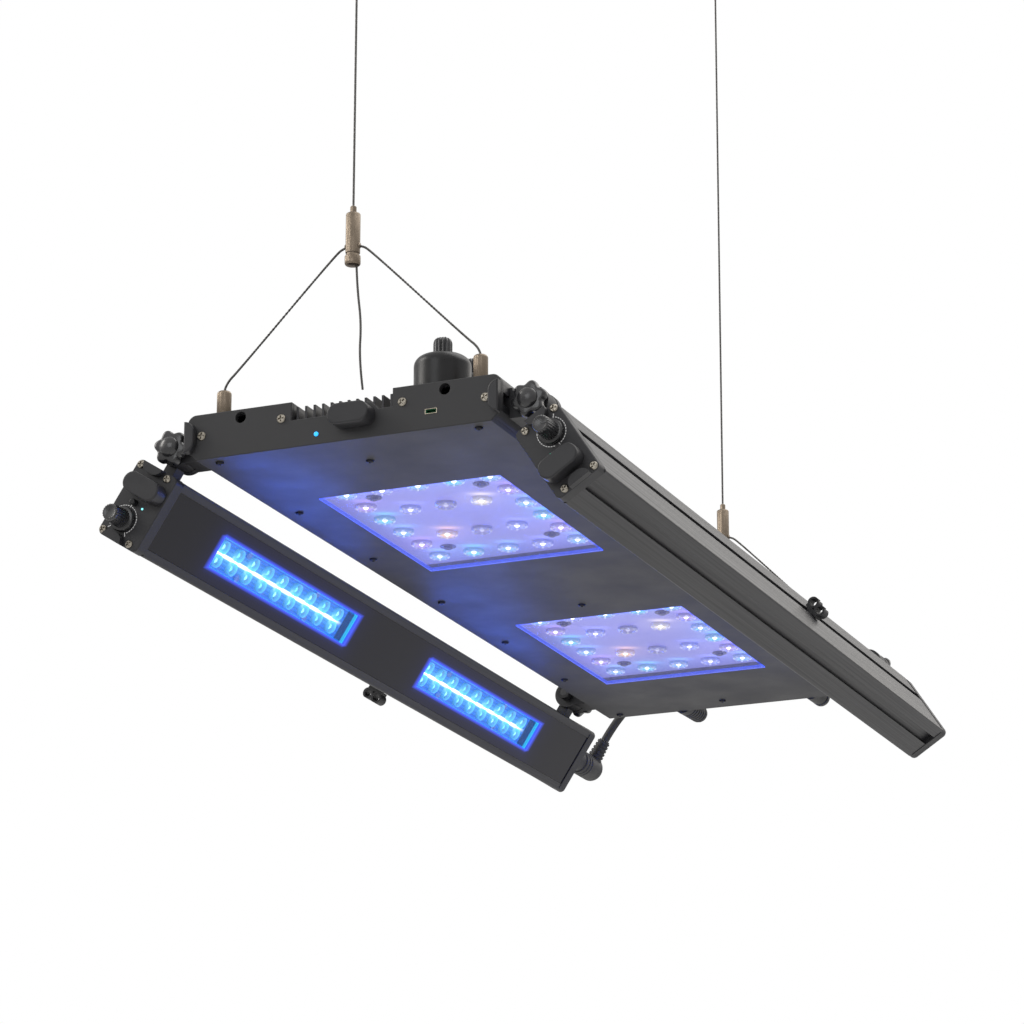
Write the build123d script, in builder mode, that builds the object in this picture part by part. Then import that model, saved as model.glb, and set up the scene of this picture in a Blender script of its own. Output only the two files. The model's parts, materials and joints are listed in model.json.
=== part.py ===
"""Hanging LED aquarium light: a slim main fixture with a tilting light bar along each side.

Millimetres. +X runs along the fixture to its control end, +Y across it, +Z up. The origin is
on the ceiling, midway between the two ceiling screws. Heights in this file are given above the
fixture's underside, which hangs DROP below the ceiling.
"""
import os
from math import cos, pi, radians, sin, tan

from build123d import *

os.makedirs("parts", exist_ok=True)

# ---- driving dimensions -------------------------------------------------------------------
DROP = 640.0            # ceiling down to the fixture's underside
LENGTH = 720.0          # over the end plates
WIDTH = 220.0
HEIGHT = 30.8
PLATE = 4.0             # end plate thickness
SHEET = 2.0             # bottom plate thickness
NOTCH_HALF = 35.5       # half width of the open heatsink channel
NOTCH_FLOOR = 16.0
FIN_COUNT = 12
FIN_PITCH = 6.0
FIN_TOP = 28.3
LAMP_ROOF = 8.0         # roof of the lamp space behind the windows
WING_FLOOR = 9.8        # floor of the two closed wiring spaces
WING_IN, WING_OUT = 49.0, 94.0
WING_ROOF = 28.0

WINDOW_X = 166.5        # window centres along the length, also on the bars
WINDOW = (181.0, 130.4)
LED_ROW = 30.4
LED_COLUMN = 26.0

HANG_X = 347.0          # both hangers' distance from the middle
ANCHOR_Y = 90.6
ANCHOR_TOP = 49.4
GRIP_LOW, GRIP_TOP, NIPPLE_TOP = 123.2, 159.4, 164.3
SLING_Z = 136.5
CABLE_D = 1.6
PLUNGER_TRAVEL = 2.5
FITTING_LOW = 618.0

HINGE_Y, HINGE_Z = 125.8, 13.9
BRACKET_X = (324.0, 346.0)      # clamp, near end; the far end mirrors it
KNUCKLE_X = (329.6, 340.0)
STUD_R = 3.0
RUNNING = 0.05                  # radial clearance of shafts and studs

TILT = radians(33.0)            # bar's rest tilt
BAR_THICK, BAR_WIDE = 34.0, 55.4
BAR_NEAR, BAR_FAR = 357.0, -366.0
CAP = 10.5                      # depth of a bar's end cap
CAP_CORNER = 4.0
ARM_REACH = 43.2                # hinge axis to bar centre, along the bar's width
ARM_OFFSET = -3.3               # hinge axis behind the bar's mid plane
BAR_WINDOW = (208.0, 23.0)
SLOT_DEEP = 4.0                 # accessory slots
BACK_SLOT_U = -6.7

DIMMER_X = (332.0, 288.0)
DIMMER_Y = 57.6
DRUM_R, DRUM_TOP = 18.5, 57.2

LEAD_D = 6.6


# ---- helpers ------------------------------------------------------------------------------
def across(x, y=0.0, z=0.0):
    """Plane square to the length at x; its own axes run along Y and Z."""
    return Plane(origin=(x, y, z - DROP), x_dir=(0, 1, 0), z_dir=(1, 0, 0))


def level(z, x=0.0, y=0.0):
    """Level plane at height z above the underside."""
    return Plane(origin=(x, y, z - DROP))


def upright(x, y=0.0):
    """Upright plane through a vertical axis at (x, y); its own axes run along X and Z."""
    return Plane(origin=(x, y, -DROP), x_dir=(1, 0, 0), z_dir=(0, -1, 0))


def spin(x, y=0.0):
    """Vertical axis through (x, y)."""
    return Axis((x, y, 0), (0, 0, 1))


def keep(builder, name):
    """Label a finished piece and write it."""
    builder.part.label = name
    export_step(builder.part, f"parts/{name}.step")


def tube(route, diameter, name):
    """Round cord along a route of straight runs joined by the largest tangent arcs."""
    points = [Vector(p) for p in route]
    runs = [b - a for a, b in zip(points, points[1:])]
    radii = []
    for before, after in zip(runs, runs[1:]):
        half_turn = radians(before.get_angle(after)) / 2
        radii.append(0.45 * min(before.length, after.length) / tan(half_turn))
    with BuildPart() as cord:
        with BuildLine() as path:
            if radii:
                FilletPolyline(*points, radius=radii)
            else:
                Line(points[0], points[1])
        with BuildSketch(Plane(origin=points[0], z_dir=runs[0])):
            Circle(diameter / 2)
        sweep(path=path.wire())
    length = path.wire().length
    section = pi * diameter**2 / 4
    print(f"{name}: length {length:.1f}, radii", [round(r, 1) for r in radii],
          f"volume/(section*length) {cord.part.volume / (section * length):.4f}")
    keep(cord, name)


# ---- main fixture: end plates -------------------------------------------------------------
SCREW_YZ = [(99.5, 16.0), (-99.5, 16.0), (42.5, 20.3), (-42.5, 20.3)]
PILL_YZ = (9.3, 14.5)
PILL = (28.7, 14.0, 12.0)
COVER_EDGE = 1.2                # rounding of the plastic covers' front edges
USB_YZ = (62.4, 11.7)
STATUS_YZ = (-17.6, 6.9)
INLET_YZ = [(-41.0, 6.8, 8.2, 40.0), (67.0, 6.4, 7.2, 27.0)]    # Y, Z, radius, length
GLAND_YZ = (-57.0, 15.0)


def body_outline(bottom, notch_floor):
    """Fixture's outline across its length, from a given underside height."""
    with BuildSketch() as outline:
        with Locations((0, HEIGHT / 2)):
            Rectangle(WIDTH, HEIGHT)
        chamfer(outline.vertices().group_by(Axis.Y)[0], 6.5)
        fillet(outline.vertices().group_by(Axis.Y)[-1], 6.0)
        with Locations((0, HEIGHT)):
            Rectangle(2 * NOTCH_HALF, 2 * (HEIGHT - notch_floor), mode=Mode.SUBTRACT)
        if bottom > 0:
            with Locations((0, 0)):
                Rectangle(WIDTH + 2, 2 * bottom, mode=Mode.SUBTRACT)
    return outline.sketch


with BuildPart() as near_end_plate:
    with BuildSketch(across(LENGTH / 2 - PLATE)):
        add(body_outline(0.0, 18.6))
        with Locations(PILL_YZ):
            SlotOverall(PILL[0] + 5, PILL[1] + 5)
        with Locations(*SCREW_YZ):
            Circle(1.6, mode=Mode.SUBTRACT)
        with Locations((71.7, 25.2), (-71.7, 25.2)):
            Circle(3.8, mode=Mode.SUBTRACT)
        with Locations(USB_YZ):
            Rectangle(8.3, 3.4, mode=Mode.SUBTRACT)
        with Locations(STATUS_YZ):
            Circle(1.6, mode=Mode.SUBTRACT)
    extrude(amount=PLATE)
    chamfer(near_end_plate.faces().sort_by(Axis.X)[-1].outer_wire().edges(), 0.5)
keep(near_end_plate, "near_end_plate")

with BuildPart() as far_end_plate:
    with BuildSketch(across(-LENGTH / 2)):
        add(body_outline(0.0, 18.6))
        with Locations(*SCREW_YZ):
            Circle(1.6, mode=Mode.SUBTRACT)
        with Locations((71.7, 25.2), (-71.7, 25.2)):
            Circle(3.8, mode=Mode.SUBTRACT)
    extrude(amount=PLATE)
    chamfer(far_end_plate.faces().sort_by(Axis.X)[0].outer_wire().edges(), 0.5)
keep(far_end_plate, "far_end_plate")

# ---- main fixture: extruded housing with its heatsink -------------------------------------
BOTTOM_SCREWS = [((i - 3) * 116.7, side * 91.0) for i in range(7) for side in (-1, 1)]
BOTTOM_SCREWS += [(316.5, 0.0), (-45.0, 0.0), (-340.0, 0.0)]
BOARD_SCREWS = [(sx * WINDOW_X + dx, dy)
                for sx in (-1, 1) for dx in (-60.8, 60.8) for dy in (-39.0, 39.0)]
ANCHORS = [(x, y) for x in (-HANG_X, HANG_X) for y in (-ANCHOR_Y, ANCHOR_Y)]

with BuildPart() as main_extrusion:
    with BuildSketch(across(-LENGTH / 2 + PLATE)):
        add(body_outline(SHEET, NOTCH_FLOOR))
        fins_y = [(i - (FIN_COUNT - 1) / 2) * FIN_PITCH for i in range(FIN_COUNT)]
        with Locations(*[(y, (NOTCH_FLOOR + FIN_TOP) / 2 - 0.5) for y in fins_y]):
            Rectangle(1.6, FIN_TOP - NOTCH_FLOOR + 1)
        with Locations((0, (SHEET + LAMP_ROOF) / 2)):
            Rectangle(168, LAMP_ROOF - SHEET, mode=Mode.SUBTRACT)
        for side in (-1, 1):
            with Locations((side * (WING_IN + WING_OUT) / 2, (WING_FLOOR + WING_ROOF) / 2)):
                Rectangle(WING_OUT - WING_IN, WING_ROOF - WING_FLOOR, mode=Mode.SUBTRACT)
            with Locations((side * WIDTH / 2, 15.0)):
                Rectangle(5.0, 8.0, mode=Mode.SUBTRACT)
            with Locations((side * 106.0, 15.0)):
                Rectangle(3.2, 13.0, mode=Mode.SUBTRACT)
    extrude(amount=LENGTH - 2 * PLATE)
    for end in (-1, 1):
        with BuildSketch(across(end * (LENGTH / 2 - PLATE))):
            with Locations(*SCREW_YZ):
                Circle(1.4)
        extrude(amount=-end * 10, mode=Mode.SUBTRACT)
    with BuildSketch(level(SHEET)):
        with Locations(*BOTTOM_SCREWS):
            Circle(1.3)
    extrude(amount=7, mode=Mode.SUBTRACT)
    with BuildSketch(level(LAMP_ROOF)):
        with Locations(*BOARD_SCREWS):
            Circle(1.3)
        with Locations((316.5, 0.0), (-45.0, 0.0), (-340.0, 0.0)):
            Circle(1.3)
    extrude(amount=5, mode=Mode.SUBTRACT)
    with BuildSketch(level(WING_ROOF)):
        with Locations(*ANCHORS):
            Circle(2.05)
    extrude(amount=3, mode=Mode.SUBTRACT)
keep(main_extrusion, "main_extrusion")

# ---- main fixture: underside ---------------------------------------------------------------
with BuildPart() as bottom_plate:
    with BuildSketch(across(-LENGTH / 2 + PLATE)):
        with BuildLine():
            Polyline((-103.5, 0), (103.5, 0), (105.5, SHEET), (-105.5, SHEET), close=True)
        make_face()
    extrude(amount=LENGTH - 2 * PLATE)
    with BuildSketch(level(0)):
        with Locations((WINDOW_X, 0), (-WINDOW_X, 0)):
            Rectangle(*WINDOW)
        with Locations(*BOTTOM_SCREWS):
            Circle(1.5)
    extrude(amount=SHEET, mode=Mode.SUBTRACT)
keep(bottom_plate, "bottom_plate")

with BuildPart() as bottom_screws:
    with BuildSketch(level(0)):
        with Locations(*BOTTOM_SCREWS):
            Circle(2.75)
    extrude(amount=-1.5)
    chamfer(bottom_screws.faces().group_by(Axis.Z)[0].edges(), 0.5)
    with BuildSketch(level(0)):
        with Locations(*BOTTOM_SCREWS[:14]):
            Circle(1.2)
    extrude(amount=8)
    with BuildSketch(level(0)):
        with Locations(*BOTTOM_SCREWS[14:]):
            Circle(1.2)
    extrude(amount=12)
keep(bottom_screws, "bottom_screws")

with BuildPart() as window_panes:
    with BuildSketch(level(-0.8)):
        with Locations((WINDOW_X, 0), (-WINDOW_X, 0)):
            RectangleRounded(WINDOW[0] - 0.2, WINDOW[1] - 0.2, 1.0)
    extrude(amount=0.8 + SHEET)
    with BuildSketch(level(SHEET)):
        with Locations((WINDOW_X, 0), (-WINDOW_X, 0)):
            Rectangle(WINDOW[0] + 7, WINDOW[1] + 7)
    extrude(amount=0.8)
keep(window_panes, "window_panes")

RING = [(row, column) for row in range(6) for column in range(5)
        if row in (0, 5) or column in (0, 4)]
INNER = [(row, column) for row in (1.5, 3.5) for column in (1, 2, 3)]
LEDS = [(side * WINDOW_X + (2.5 - row) * LED_ROW, (column - 2) * LED_COLUMN)
        for side in (-1, 1) for row, column in RING + INNER]

with BuildPart() as led_boards:
    with BuildSketch(level(LAMP_ROOF - 1.6)):
        with Locations((WINDOW_X, 0), (-WINDOW_X, 0)):
            RectangleRounded(176, 126, 3)
        with Locations(*BOARD_SCREWS):
            Circle(1.4, mode=Mode.SUBTRACT)
    extrude(amount=1.6)
keep(led_boards, "led_boards")

with BuildPart() as board_screws:
    with BuildSketch(level(4.8)):
        with Locations(*BOARD_SCREWS):
            Circle(2.8)
    extrude(amount=1.6)
    with BuildSketch(level(LAMP_ROOF - 1.6)):
        with Locations(*BOARD_SCREWS):
            Circle(1.2)
    extrude(amount=6)
keep(board_screws, "board_screws")

with BuildPart() as lens_array:
    with BuildSketch(level(LAMP_ROOF - 1.6)):
        with Locations(*LEDS):
            Circle(7.4)
    extrude(amount=-3.3, taper=18)
keep(lens_array, "lens_array")

# ---- main fixture: electronics and what shows of them -------------------------------------
BOARD_LOW, BOARD_THICK = 13.1, 1.4
WING_Y = (WING_IN + WING_OUT) / 2
CONTROL_X, DRIVER_X = 302.0, -60.0

with BuildPart() as circuit_boards:
    with BuildSketch(level(BOARD_LOW)):
        with Locations((CONTROL_X, WING_Y)):
            Rectangle(100, 40)
        with Locations((DRIVER_X, -WING_Y), (DRIVER_X, WING_Y)):
            Rectangle(220, 40)
    extrude(amount=BOARD_THICK)
    with BuildSketch(level(WING_FLOOR)):
        with Locations((CONTROL_X, WING_Y)):
            with GridLocations(88, 32, 2, 2):
                Circle(2.2)
        with Locations((DRIVER_X, -WING_Y), (DRIVER_X, WING_Y)):
            with GridLocations(200, 32, 2, 2):
                Circle(2.2)
    extrude(amount=BOARD_LOW - WING_FLOOR)
    with BuildSketch(level(BOARD_LOW + BOARD_THICK)):
        with Locations((285, 66)):
            Rectangle(24, 18)
        with Locations((320, 80), (330, 64)):
            Rectangle(10, 8)
        with Locations((DRIVER_X, -WING_Y), (DRIVER_X, WING_Y)):
            with GridLocations(60, 1, 4, 1):
                Circle(9)
    extrude(amount=6)
    with BuildSketch(across(346, *USB_YZ)):
        Rectangle(7.5, 2.8)
        Rectangle(6.3, 1.7, mode=Mode.SUBTRACT)
    extrude(amount=14.3)
    with BuildSketch(across(346, *USB_YZ)):
        Rectangle(7.5, 2.8)
    extrude(amount=6)
keep(circuit_boards, "circuit_boards")

with BuildPart() as status_light:
    with BuildSketch(across(LENGTH / 2 - PLATE, *STATUS_YZ)):
        Circle(1.5)
    extrude(amount=PLATE + 0.7)
    fillet(status_light.edges().sort_by(Axis.X)[-1], 0.6)
keep(status_light, "status_light")


with BuildPart() as antenna_cover:
    with BuildSketch(across(LENGTH / 2, *PILL_YZ)):
        SlotOverall(PILL[0], PILL[1])
    extrude(amount=PILL[2])
    fillet(antenna_cover.faces().sort_by(Axis.X)[-1].edges(), COVER_EDGE)
keep(antenna_cover, "antenna_cover")

with BuildPart() as slot_plugs:
    for end in (-1, 1):
        for side in (-1, 1):
            with BuildSketch(across(end * LENGTH / 2)):
                with Locations((side * WIDTH / 2, 15.0)):
                    SlotOverall(21.1, 14.0, rotation=90)
                    with Locations((side * 10.0, 0)):
                        Rectangle(20.0, 40.0, mode=Mode.SUBTRACT)
            extrude(amount=end * 5.5)
    fillet(slot_plugs.faces().group_by(Axis.X)[-1].edges(), COVER_EDGE)
    fillet(slot_plugs.faces().group_by(Axis.X)[0].edges(), COVER_EDGE)
keep(slot_plugs, "slot_plugs")

with BuildPart() as plate_screws:
    for end in (-1, 1):
        with BuildSketch(across(end * LENGTH / 2)):
            with Locations(*SCREW_YZ):
                Circle(3.0)
        extrude(amount=end * 1.2)
        with BuildSketch(across(end * LENGTH / 2)):
            with Locations(*SCREW_YZ):
                Circle(1.35)
        extrude(amount=-end * 12)
keep(plate_screws, "plate_screws")

with BuildPart() as power_inlets:
    far_face = -LENGTH / 2
    for y, z, radius, length in INLET_YZ:
        with BuildSketch(across(far_face, y, z)):
            Circle(radius)
        extrude(amount=-length, taper=1.5)
    with BuildSketch(across(far_face, *GLAND_YZ)):
        RegularPolygon(7.0, 6)
    extrude(amount=-5)
    with BuildSketch(across(far_face, *GLAND_YZ)):
        Circle(5.6)
    extrude(amount=-13)
    fillet(power_inlets.faces().group_by(Axis.X)[0].edges(), 2.0)
keep(power_inlets, "power_inlets")

# ---- dimmers on top ------------------------------------------------------------------------
with BuildPart() as dimmer_housings:
    with BuildSketch(level(HEIGHT)):
        with Locations(*[(x, DIMMER_Y) for x in DIMMER_X]):
            Circle(DRUM_R)
    extrude(amount=DRUM_TOP - HEIGHT)
    fillet(dimmer_housings.faces().group_by(Axis.Z)[-1].edges(), 7.0)
    with BuildSketch(level(DRUM_TOP)):
        with Locations(*[(x, DIMMER_Y) for x in DIMMER_X]):
            Circle(STUD_R + RUNNING)
    extrude(amount=-10, mode=Mode.SUBTRACT)
keep(dimmer_housings, "dimmer_housings")

for name, x in zip(("front_dimmer_knob", "rear_dimmer_knob"), DIMMER_X):
    with BuildPart() as knob:
        with BuildSketch(level(DRUM_TOP + 0.3, x, DIMMER_Y)):
            Circle(6.25)
            with PolarLocations(6.25, 14):
                Circle(0.75, mode=Mode.SUBTRACT)
        extrude(amount=9.4)
        with BuildSketch(level(DRUM_TOP + 9.7, x, DIMMER_Y)):
            Circle(5.6)
        extrude(amount=3.0)
        fillet(knob.edges().group_by(Axis.Z)[-1], 1.8)
        with BuildSketch(level(DRUM_TOP + 0.3, x, DIMMER_Y)):
            Circle(STUD_R)
        extrude(amount=-9)
    keep(knob, name)

# ---- hangers -------------------------------------------------------------------------------
with BuildPart() as rail_anchors:
    with BuildSketch(level(HEIGHT)):
        with Locations(*ANCHORS):
            Circle(4.75)
    extrude(amount=ANCHOR_TOP - HEIGHT)
    fillet(rail_anchors.faces().group_by(Axis.Z)[-1].edges(), 1.8)
    with BuildSketch(level(HEIGHT)):
        with Locations(*ANCHORS):
            Circle(2.0)
    extrude(amount=-2.5)
keep(rail_anchors, "rail_anchors")

with BuildPart() as gripper_barrels:
    for x in (-HANG_X, HANG_X):
        with BuildSketch(upright(x)):
            with BuildLine():
                Polyline((0, GRIP_LOW), (4.0, GRIP_LOW), (5.2, GRIP_LOW + 1.2), (5.2, 130.0),
                         (4.2, 130.0), (4.2, 131.5), (4.8, 131.5), (4.8, GRIP_TOP - 0.8),
                         (4.0, GRIP_TOP), (2.1 + RUNNING, GRIP_TOP), (2.1 + RUNNING, 146.5),
                         (0, 146.5), close=True)
            make_face()
        revolve(axis=spin(x))
        with BuildSketch(Plane(origin=(x, -8, SLING_Z - DROP), z_dir=(0, 1, 0))):
            Circle(1.6)
        extrude(amount=16, mode=Mode.SUBTRACT)
keep(gripper_barrels, "gripper_barrels")

for name, x in (("near_plunger", HANG_X), ("far_plunger", -HANG_X)):
    with BuildPart() as plunger:
        with BuildSketch(level(149.5, x)):
            Circle(2.1)
        extrude(amount=NIPPLE_TOP - 149.5)
        chamfer(plunger.edges().sort_by(Axis.Z)[-1], 0.6)
    keep(plunger, name)

with BuildPart() as ceiling_fittings:
    for x in (-HANG_X, HANG_X):
        with BuildSketch(upright(x)):
            with BuildLine():
                Polyline((0, FITTING_LOW), (3.5, FITTING_LOW), (5.0, FITTING_LOW + 5),
                         (11.0, FITTING_LOW + 9), (11.0, DROP), (9.1, DROP),
                         (9.1, FITTING_LOW + 11), (0, FITTING_LOW + 11), close=True)
            make_face()
        revolve(axis=spin(x))
        with BuildSketch(upright(x)):
            with BuildLine():
                Polyline((2.25, DROP - 5), (9.05, DROP - 5), (9.05, DROP), (2.25, DROP),
                         close=True)
            make_face()
        revolve(axis=spin(x))
keep(ceiling_fittings, "ceiling_fittings")

# ---- hinge brackets ------------------------------------------------------------------------
with BuildPart() as bracket_bases:
    for end in (-1, 1):
        for side in (-1, 1):
            x_low = min(end * BRACKET_X[0], end * BRACKET_X[1])
            span = BRACKET_X[1] - BRACKET_X[0]
            with BuildSketch(across(x_low, side * HINGE_Y, HINGE_Z)):
                Circle(10.5)
                with Locations((-side * 7.5, 0)):
                    Rectangle(15.0, 18.0)
            extrude(amount=span)
            gap_low = min(end * (KNUCKLE_X[0] - 0.3), end * (KNUCKLE_X[1] + 0.3))
            with BuildSketch(across(gap_low, side * HINGE_Y, HINGE_Z)):
                Circle(11.0)
                with Locations((side * 5.0, 0)):
                    Rectangle(20.0, 24.0)
            extrude(amount=KNUCKLE_X[1] - KNUCKLE_X[0] + 0.6, mode=Mode.SUBTRACT)
            with BuildSketch(across(x_low, side * HINGE_Y, HINGE_Z)):
                Circle(STUD_R + RUNNING)
            extrude(amount=span, mode=Mode.SUBTRACT)
            with BuildSketch(across(x_low, side * WIDTH / 2, 15.0)):
                with Locations((side * 1.0, 0)):
                    Rectangle(2.0, 20.0)
                with Locations((-side * 1.5, 0)):
                    Rectangle(3.4, 7.7)
                with Locations((-side * 3.95, 0)):
                    Rectangle(2.8, 12.5)
            extrude(amount=span)
keep(bracket_bases, "bracket_bases")

with BuildPart() as hinge_nuts:
    for end in (-1, 1):
        for side in (-1, 1):
            with BuildSketch(across(end * BRACKET_X[0], side * HINGE_Y, HINGE_Z)):
                Circle(5.4)
                Circle(STUD_R + RUNNING, mode=Mode.SUBTRACT)
            extrude(amount=-end * 9)
keep(hinge_nuts, "hinge_nuts")

KNOBS = (("left_near_knob", 1, -1), ("left_far_knob", -1, -1),
         ("right_near_knob", 1, 1), ("right_far_knob", -1, 1))
for name, end, side in KNOBS:
    knob_x = end * (BRACKET_X[1] + 0.3)
    with BuildPart() as star_knob:
        with BuildSketch(across(knob_x, side * HINGE_Y, HINGE_Z)):
            Circle(7.2)
        extrude(amount=end * 2)
        with BuildSketch(across(knob_x + end * 1.6, side * HINGE_Y, HINGE_Z)):
            Circle(9.2)
            with PolarLocations(8.3, 6):
                Circle(3.7)
        extrude(amount=end * 7)
        with BuildSketch(across(knob_x + end * 8, side * HINGE_Y, HINGE_Z)):
            Circle(6.9)
        extrude(amount=end * 4.4)
        fillet(star_knob.edges().sort_by(Axis.X)[-1 if end > 0 else 0], 3.4)
        with BuildSketch(across(knob_x, side * HINGE_Y, HINGE_Z)):
            Circle(STUD_R)
        extrude(amount=-end * 31)
    keep(star_knob, name)


# ---- tilting light bars --------------------------------------------------------------------
def bar_plane(side, x, thick=0.0, wide=0.0):
    """Plane square to a bar at x. Its own axes run through the bar's thickness, towards the
    lit face, and along its width. The right bar is the left one turned about X."""
    outward = Vector(0, -side * cos(TILT), -sin(TILT))
    along = Vector(1, 0, 0).cross(outward)
    hinge = Vector(x, side * HINGE_Y, HINGE_Z - DROP)
    middle = hinge - outward * ARM_OFFSET + along * (side * ARM_REACH)
    return Plane(origin=middle + outward * thick + along * wide, x_dir=outward, z_dir=(1, 0, 0))


def face_plane(side, thick):
    """Plane parallel to a bar's lit face; its own axes run along the bar and its width."""
    square = bar_plane(side, 0.0, thick)
    return Plane(origin=square.origin, x_dir=(1, 0, 0), z_dir=-square.x_dir)


CAP_SCREWS = [(n, u) for n in (-13.5, 9.5) for u in (-24.3, 24.3)]
BAR_PILL = (1.8, 11.7)
SIDE_COVER = (15.6, 12.0)       # half of it stands on each short side of a near cap
BAR_DIAL = (-3.8, -12.4)
BAR_BUTTON = (-2.4, 0.6)
SOCKET = (5.0, 1.3)
SOCKET_R, SOCKET_BORE, SOCKET_LONG = 9.1, 5.2, 16.0
BUTTON_R = 2.1
CLIPS = {-1: (-51.0, ARM_OFFSET, -BAR_WIDE / 2), 1: (-98.0, -BAR_THICK / 2, BACK_SLOT_U)}

for word, side in (("left", -1), ("right", 1)):
    hinge_u = -side * ARM_REACH

    with BuildPart() as extrusion:
        with BuildSketch(bar_plane(side, BAR_FAR + CAP)) as section:
            Rectangle(BAR_THICK - 0.8, BAR_WIDE - 0.8)
            fillet(section.vertices(), 1.2)
            with Locations((BAR_THICK / 2, 0)):
                Rectangle(4.8, 42.6, mode=Mode.SUBTRACT)
            with Locations((10.3, 0)):
                Rectangle(9.0, 34.0, mode=Mode.SUBTRACT)
            with Locations((-4.5, 0)):
                Rectangle(13.0, 34.0, mode=Mode.SUBTRACT)
            for end in (-1, 1):
                with Locations((ARM_OFFSET, end * (BAR_WIDE / 2 - 0.9))):
                    Rectangle(8.6, 2.4, mode=Mode.SUBTRACT)
                with Locations((ARM_OFFSET, end * (BAR_WIDE / 2 - 3.0))):
                    Rectangle(13.0, 2.2, mode=Mode.SUBTRACT)
            with Locations((-BAR_THICK / 2 + 0.9, BACK_SLOT_U)):
                Rectangle(2.4, 6.6, mode=Mode.SUBTRACT)
            with Locations((-BAR_THICK / 2 + 3.0, BACK_SLOT_U)):
                Rectangle(2.2, 11.0, mode=Mode.SUBTRACT)
        extrude(amount=BAR_NEAR - BAR_FAR - 2 * CAP)
        for x, inward in ((BAR_NEAR - CAP, -9), (BAR_FAR + CAP, 9)):
            with BuildSketch(bar_plane(side, x)):
                with Locations(*CAP_SCREWS):
                    Circle(1.25)
            extrude(amount=inward, mode=Mode.SUBTRACT)
    keep(extrusion, f"{word}_bar_extrusion")

    with BuildPart() as cover:
        with BuildSketch(bar_plane(side, BAR_FAR + CAP)):
            with Locations((BAR_THICK / 2 - 1.5, 0)):
                Rectangle(1.6, 42.2)
        extrude(amount=BAR_NEAR - BAR_FAR - 2 * CAP)
        with BuildSketch(face_plane(side, BAR_THICK / 2)):
            with Locations((WINDOW_X, 0), (-WINDOW_X, 0)):
                Rectangle(*BAR_WINDOW)
        extrude(amount=4, both=True, mode=Mode.SUBTRACT)
    keep(cover, f"{word}_bar_cover")

    with BuildPart() as panes:
        with BuildSketch(face_plane(side, BAR_THICK / 2 - 2.3)):
            with Locations((WINDOW_X, 0), (-WINDOW_X, 0)):
                Rectangle(BAR_WINDOW[0] - 0.2, BAR_WINDOW[1] - 0.2)
        extrude(amount=-1.6)
        with BuildSketch(face_plane(side, BAR_THICK / 2 - 3.9)):
            with Locations((WINDOW_X, 0), (-WINDOW_X, 0)):
                Rectangle(BAR_WINDOW[0] + 8, 33.0)
        extrude(amount=-1.6)
    keep(panes, f"{word}_bar_panes")

    with BuildPart() as led_strips:
        with BuildSketch(face_plane(side, 5.8)):
            with Locations((WINDOW_X, 0), (-WINDOW_X, 0)):
                Rectangle(206, 30)
        extrude(amount=-1.6)
        with BuildSketch(face_plane(side, 7.4)):
            for window in (-WINDOW_X, WINDOW_X):
                with Locations((window, 0)):
                    with GridLocations(22.0, 10.4, 9, 2):
                        Circle(4.6)
        extrude(amount=-3.8, taper=12)
    keep(led_strips, f"{word}_led_strips")

    with BuildPart() as near_cap:
        with BuildSketch(bar_plane(side, BAR_NEAR - CAP)) as section:
            Rectangle(BAR_THICK, BAR_WIDE)
            fillet(section.vertices(), CAP_CORNER)
            with Locations(*CAP_SCREWS):
                Circle(1.3, mode=Mode.SUBTRACT)
        extrude(amount=CAP)
        chamfer(near_cap.faces().sort_by(Axis.X)[-1].outer_wire().edges(), 0.6)
        with BuildSketch(bar_plane(side, BAR_NEAR)):
            with Locations(BAR_DIAL):
                Circle(STUD_R + RUNNING)
            with Locations(BAR_BUTTON):
                Circle(BUTTON_R + RUNNING)
        extrude(amount=-8.5, mode=Mode.SUBTRACT)
    keep(near_cap, f"{word}_near_cap")

    with BuildPart() as far_cap:
        with BuildSketch(bar_plane(side, BAR_FAR)) as section:
            Rectangle(BAR_THICK, BAR_WIDE)
            fillet(section.vertices(), CAP_CORNER)
            with Locations(*CAP_SCREWS):
                Circle(1.3, mode=Mode.SUBTRACT)
        extrude(amount=CAP)
        chamfer(far_cap.faces().sort_by(Axis.X)[0].outer_wire().edges(), 0.6)
        with BuildSketch(bar_plane(side, BAR_FAR, *SOCKET)):
            Circle(SOCKET_R)
        extrude(amount=-SOCKET_LONG)
        with BuildSketch(bar_plane(side, BAR_FAR - SOCKET_LONG, *SOCKET)):
            Circle(SOCKET_BORE)
        extrude(amount=14, mode=Mode.SUBTRACT)
    keep(far_cap, f"{word}_far_cap")

    with BuildPart() as cap_screws:
        for x, outward in ((BAR_NEAR, 1), (BAR_FAR, -1)):
            with BuildSketch(bar_plane(side, x)):
                with Locations(*CAP_SCREWS):
                    Circle(2.7)
            extrude(amount=outward * 1.2)
            with BuildSketch(bar_plane(side, x)):
                with Locations(*CAP_SCREWS):
                    Circle(1.2)
            extrude(amount=-outward * 18)
    keep(cap_screws, f"{word}_cap_screws")

    with BuildPart() as port_covers:
        with BuildSketch(bar_plane(side, BAR_NEAR, *BAR_PILL)):
            SlotOverall(28.5, 14.0)
        extrude(amount=12)
        for end in (-1, 1):
            with BuildSketch(bar_plane(side, BAR_NEAR, -2.0, end * BAR_WIDE / 2)):
                SlotOverall(*SIDE_COVER)
                with Locations((0, end * 10.0)):
                    Rectangle(40.0, 20.0, mode=Mode.SUBTRACT)
            extrude(amount=5.0)
        fillet(port_covers.faces().sort_by(Axis.X)[-1].edges(), COVER_EDGE)
    keep(port_covers, f"{word}_port_covers")

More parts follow.
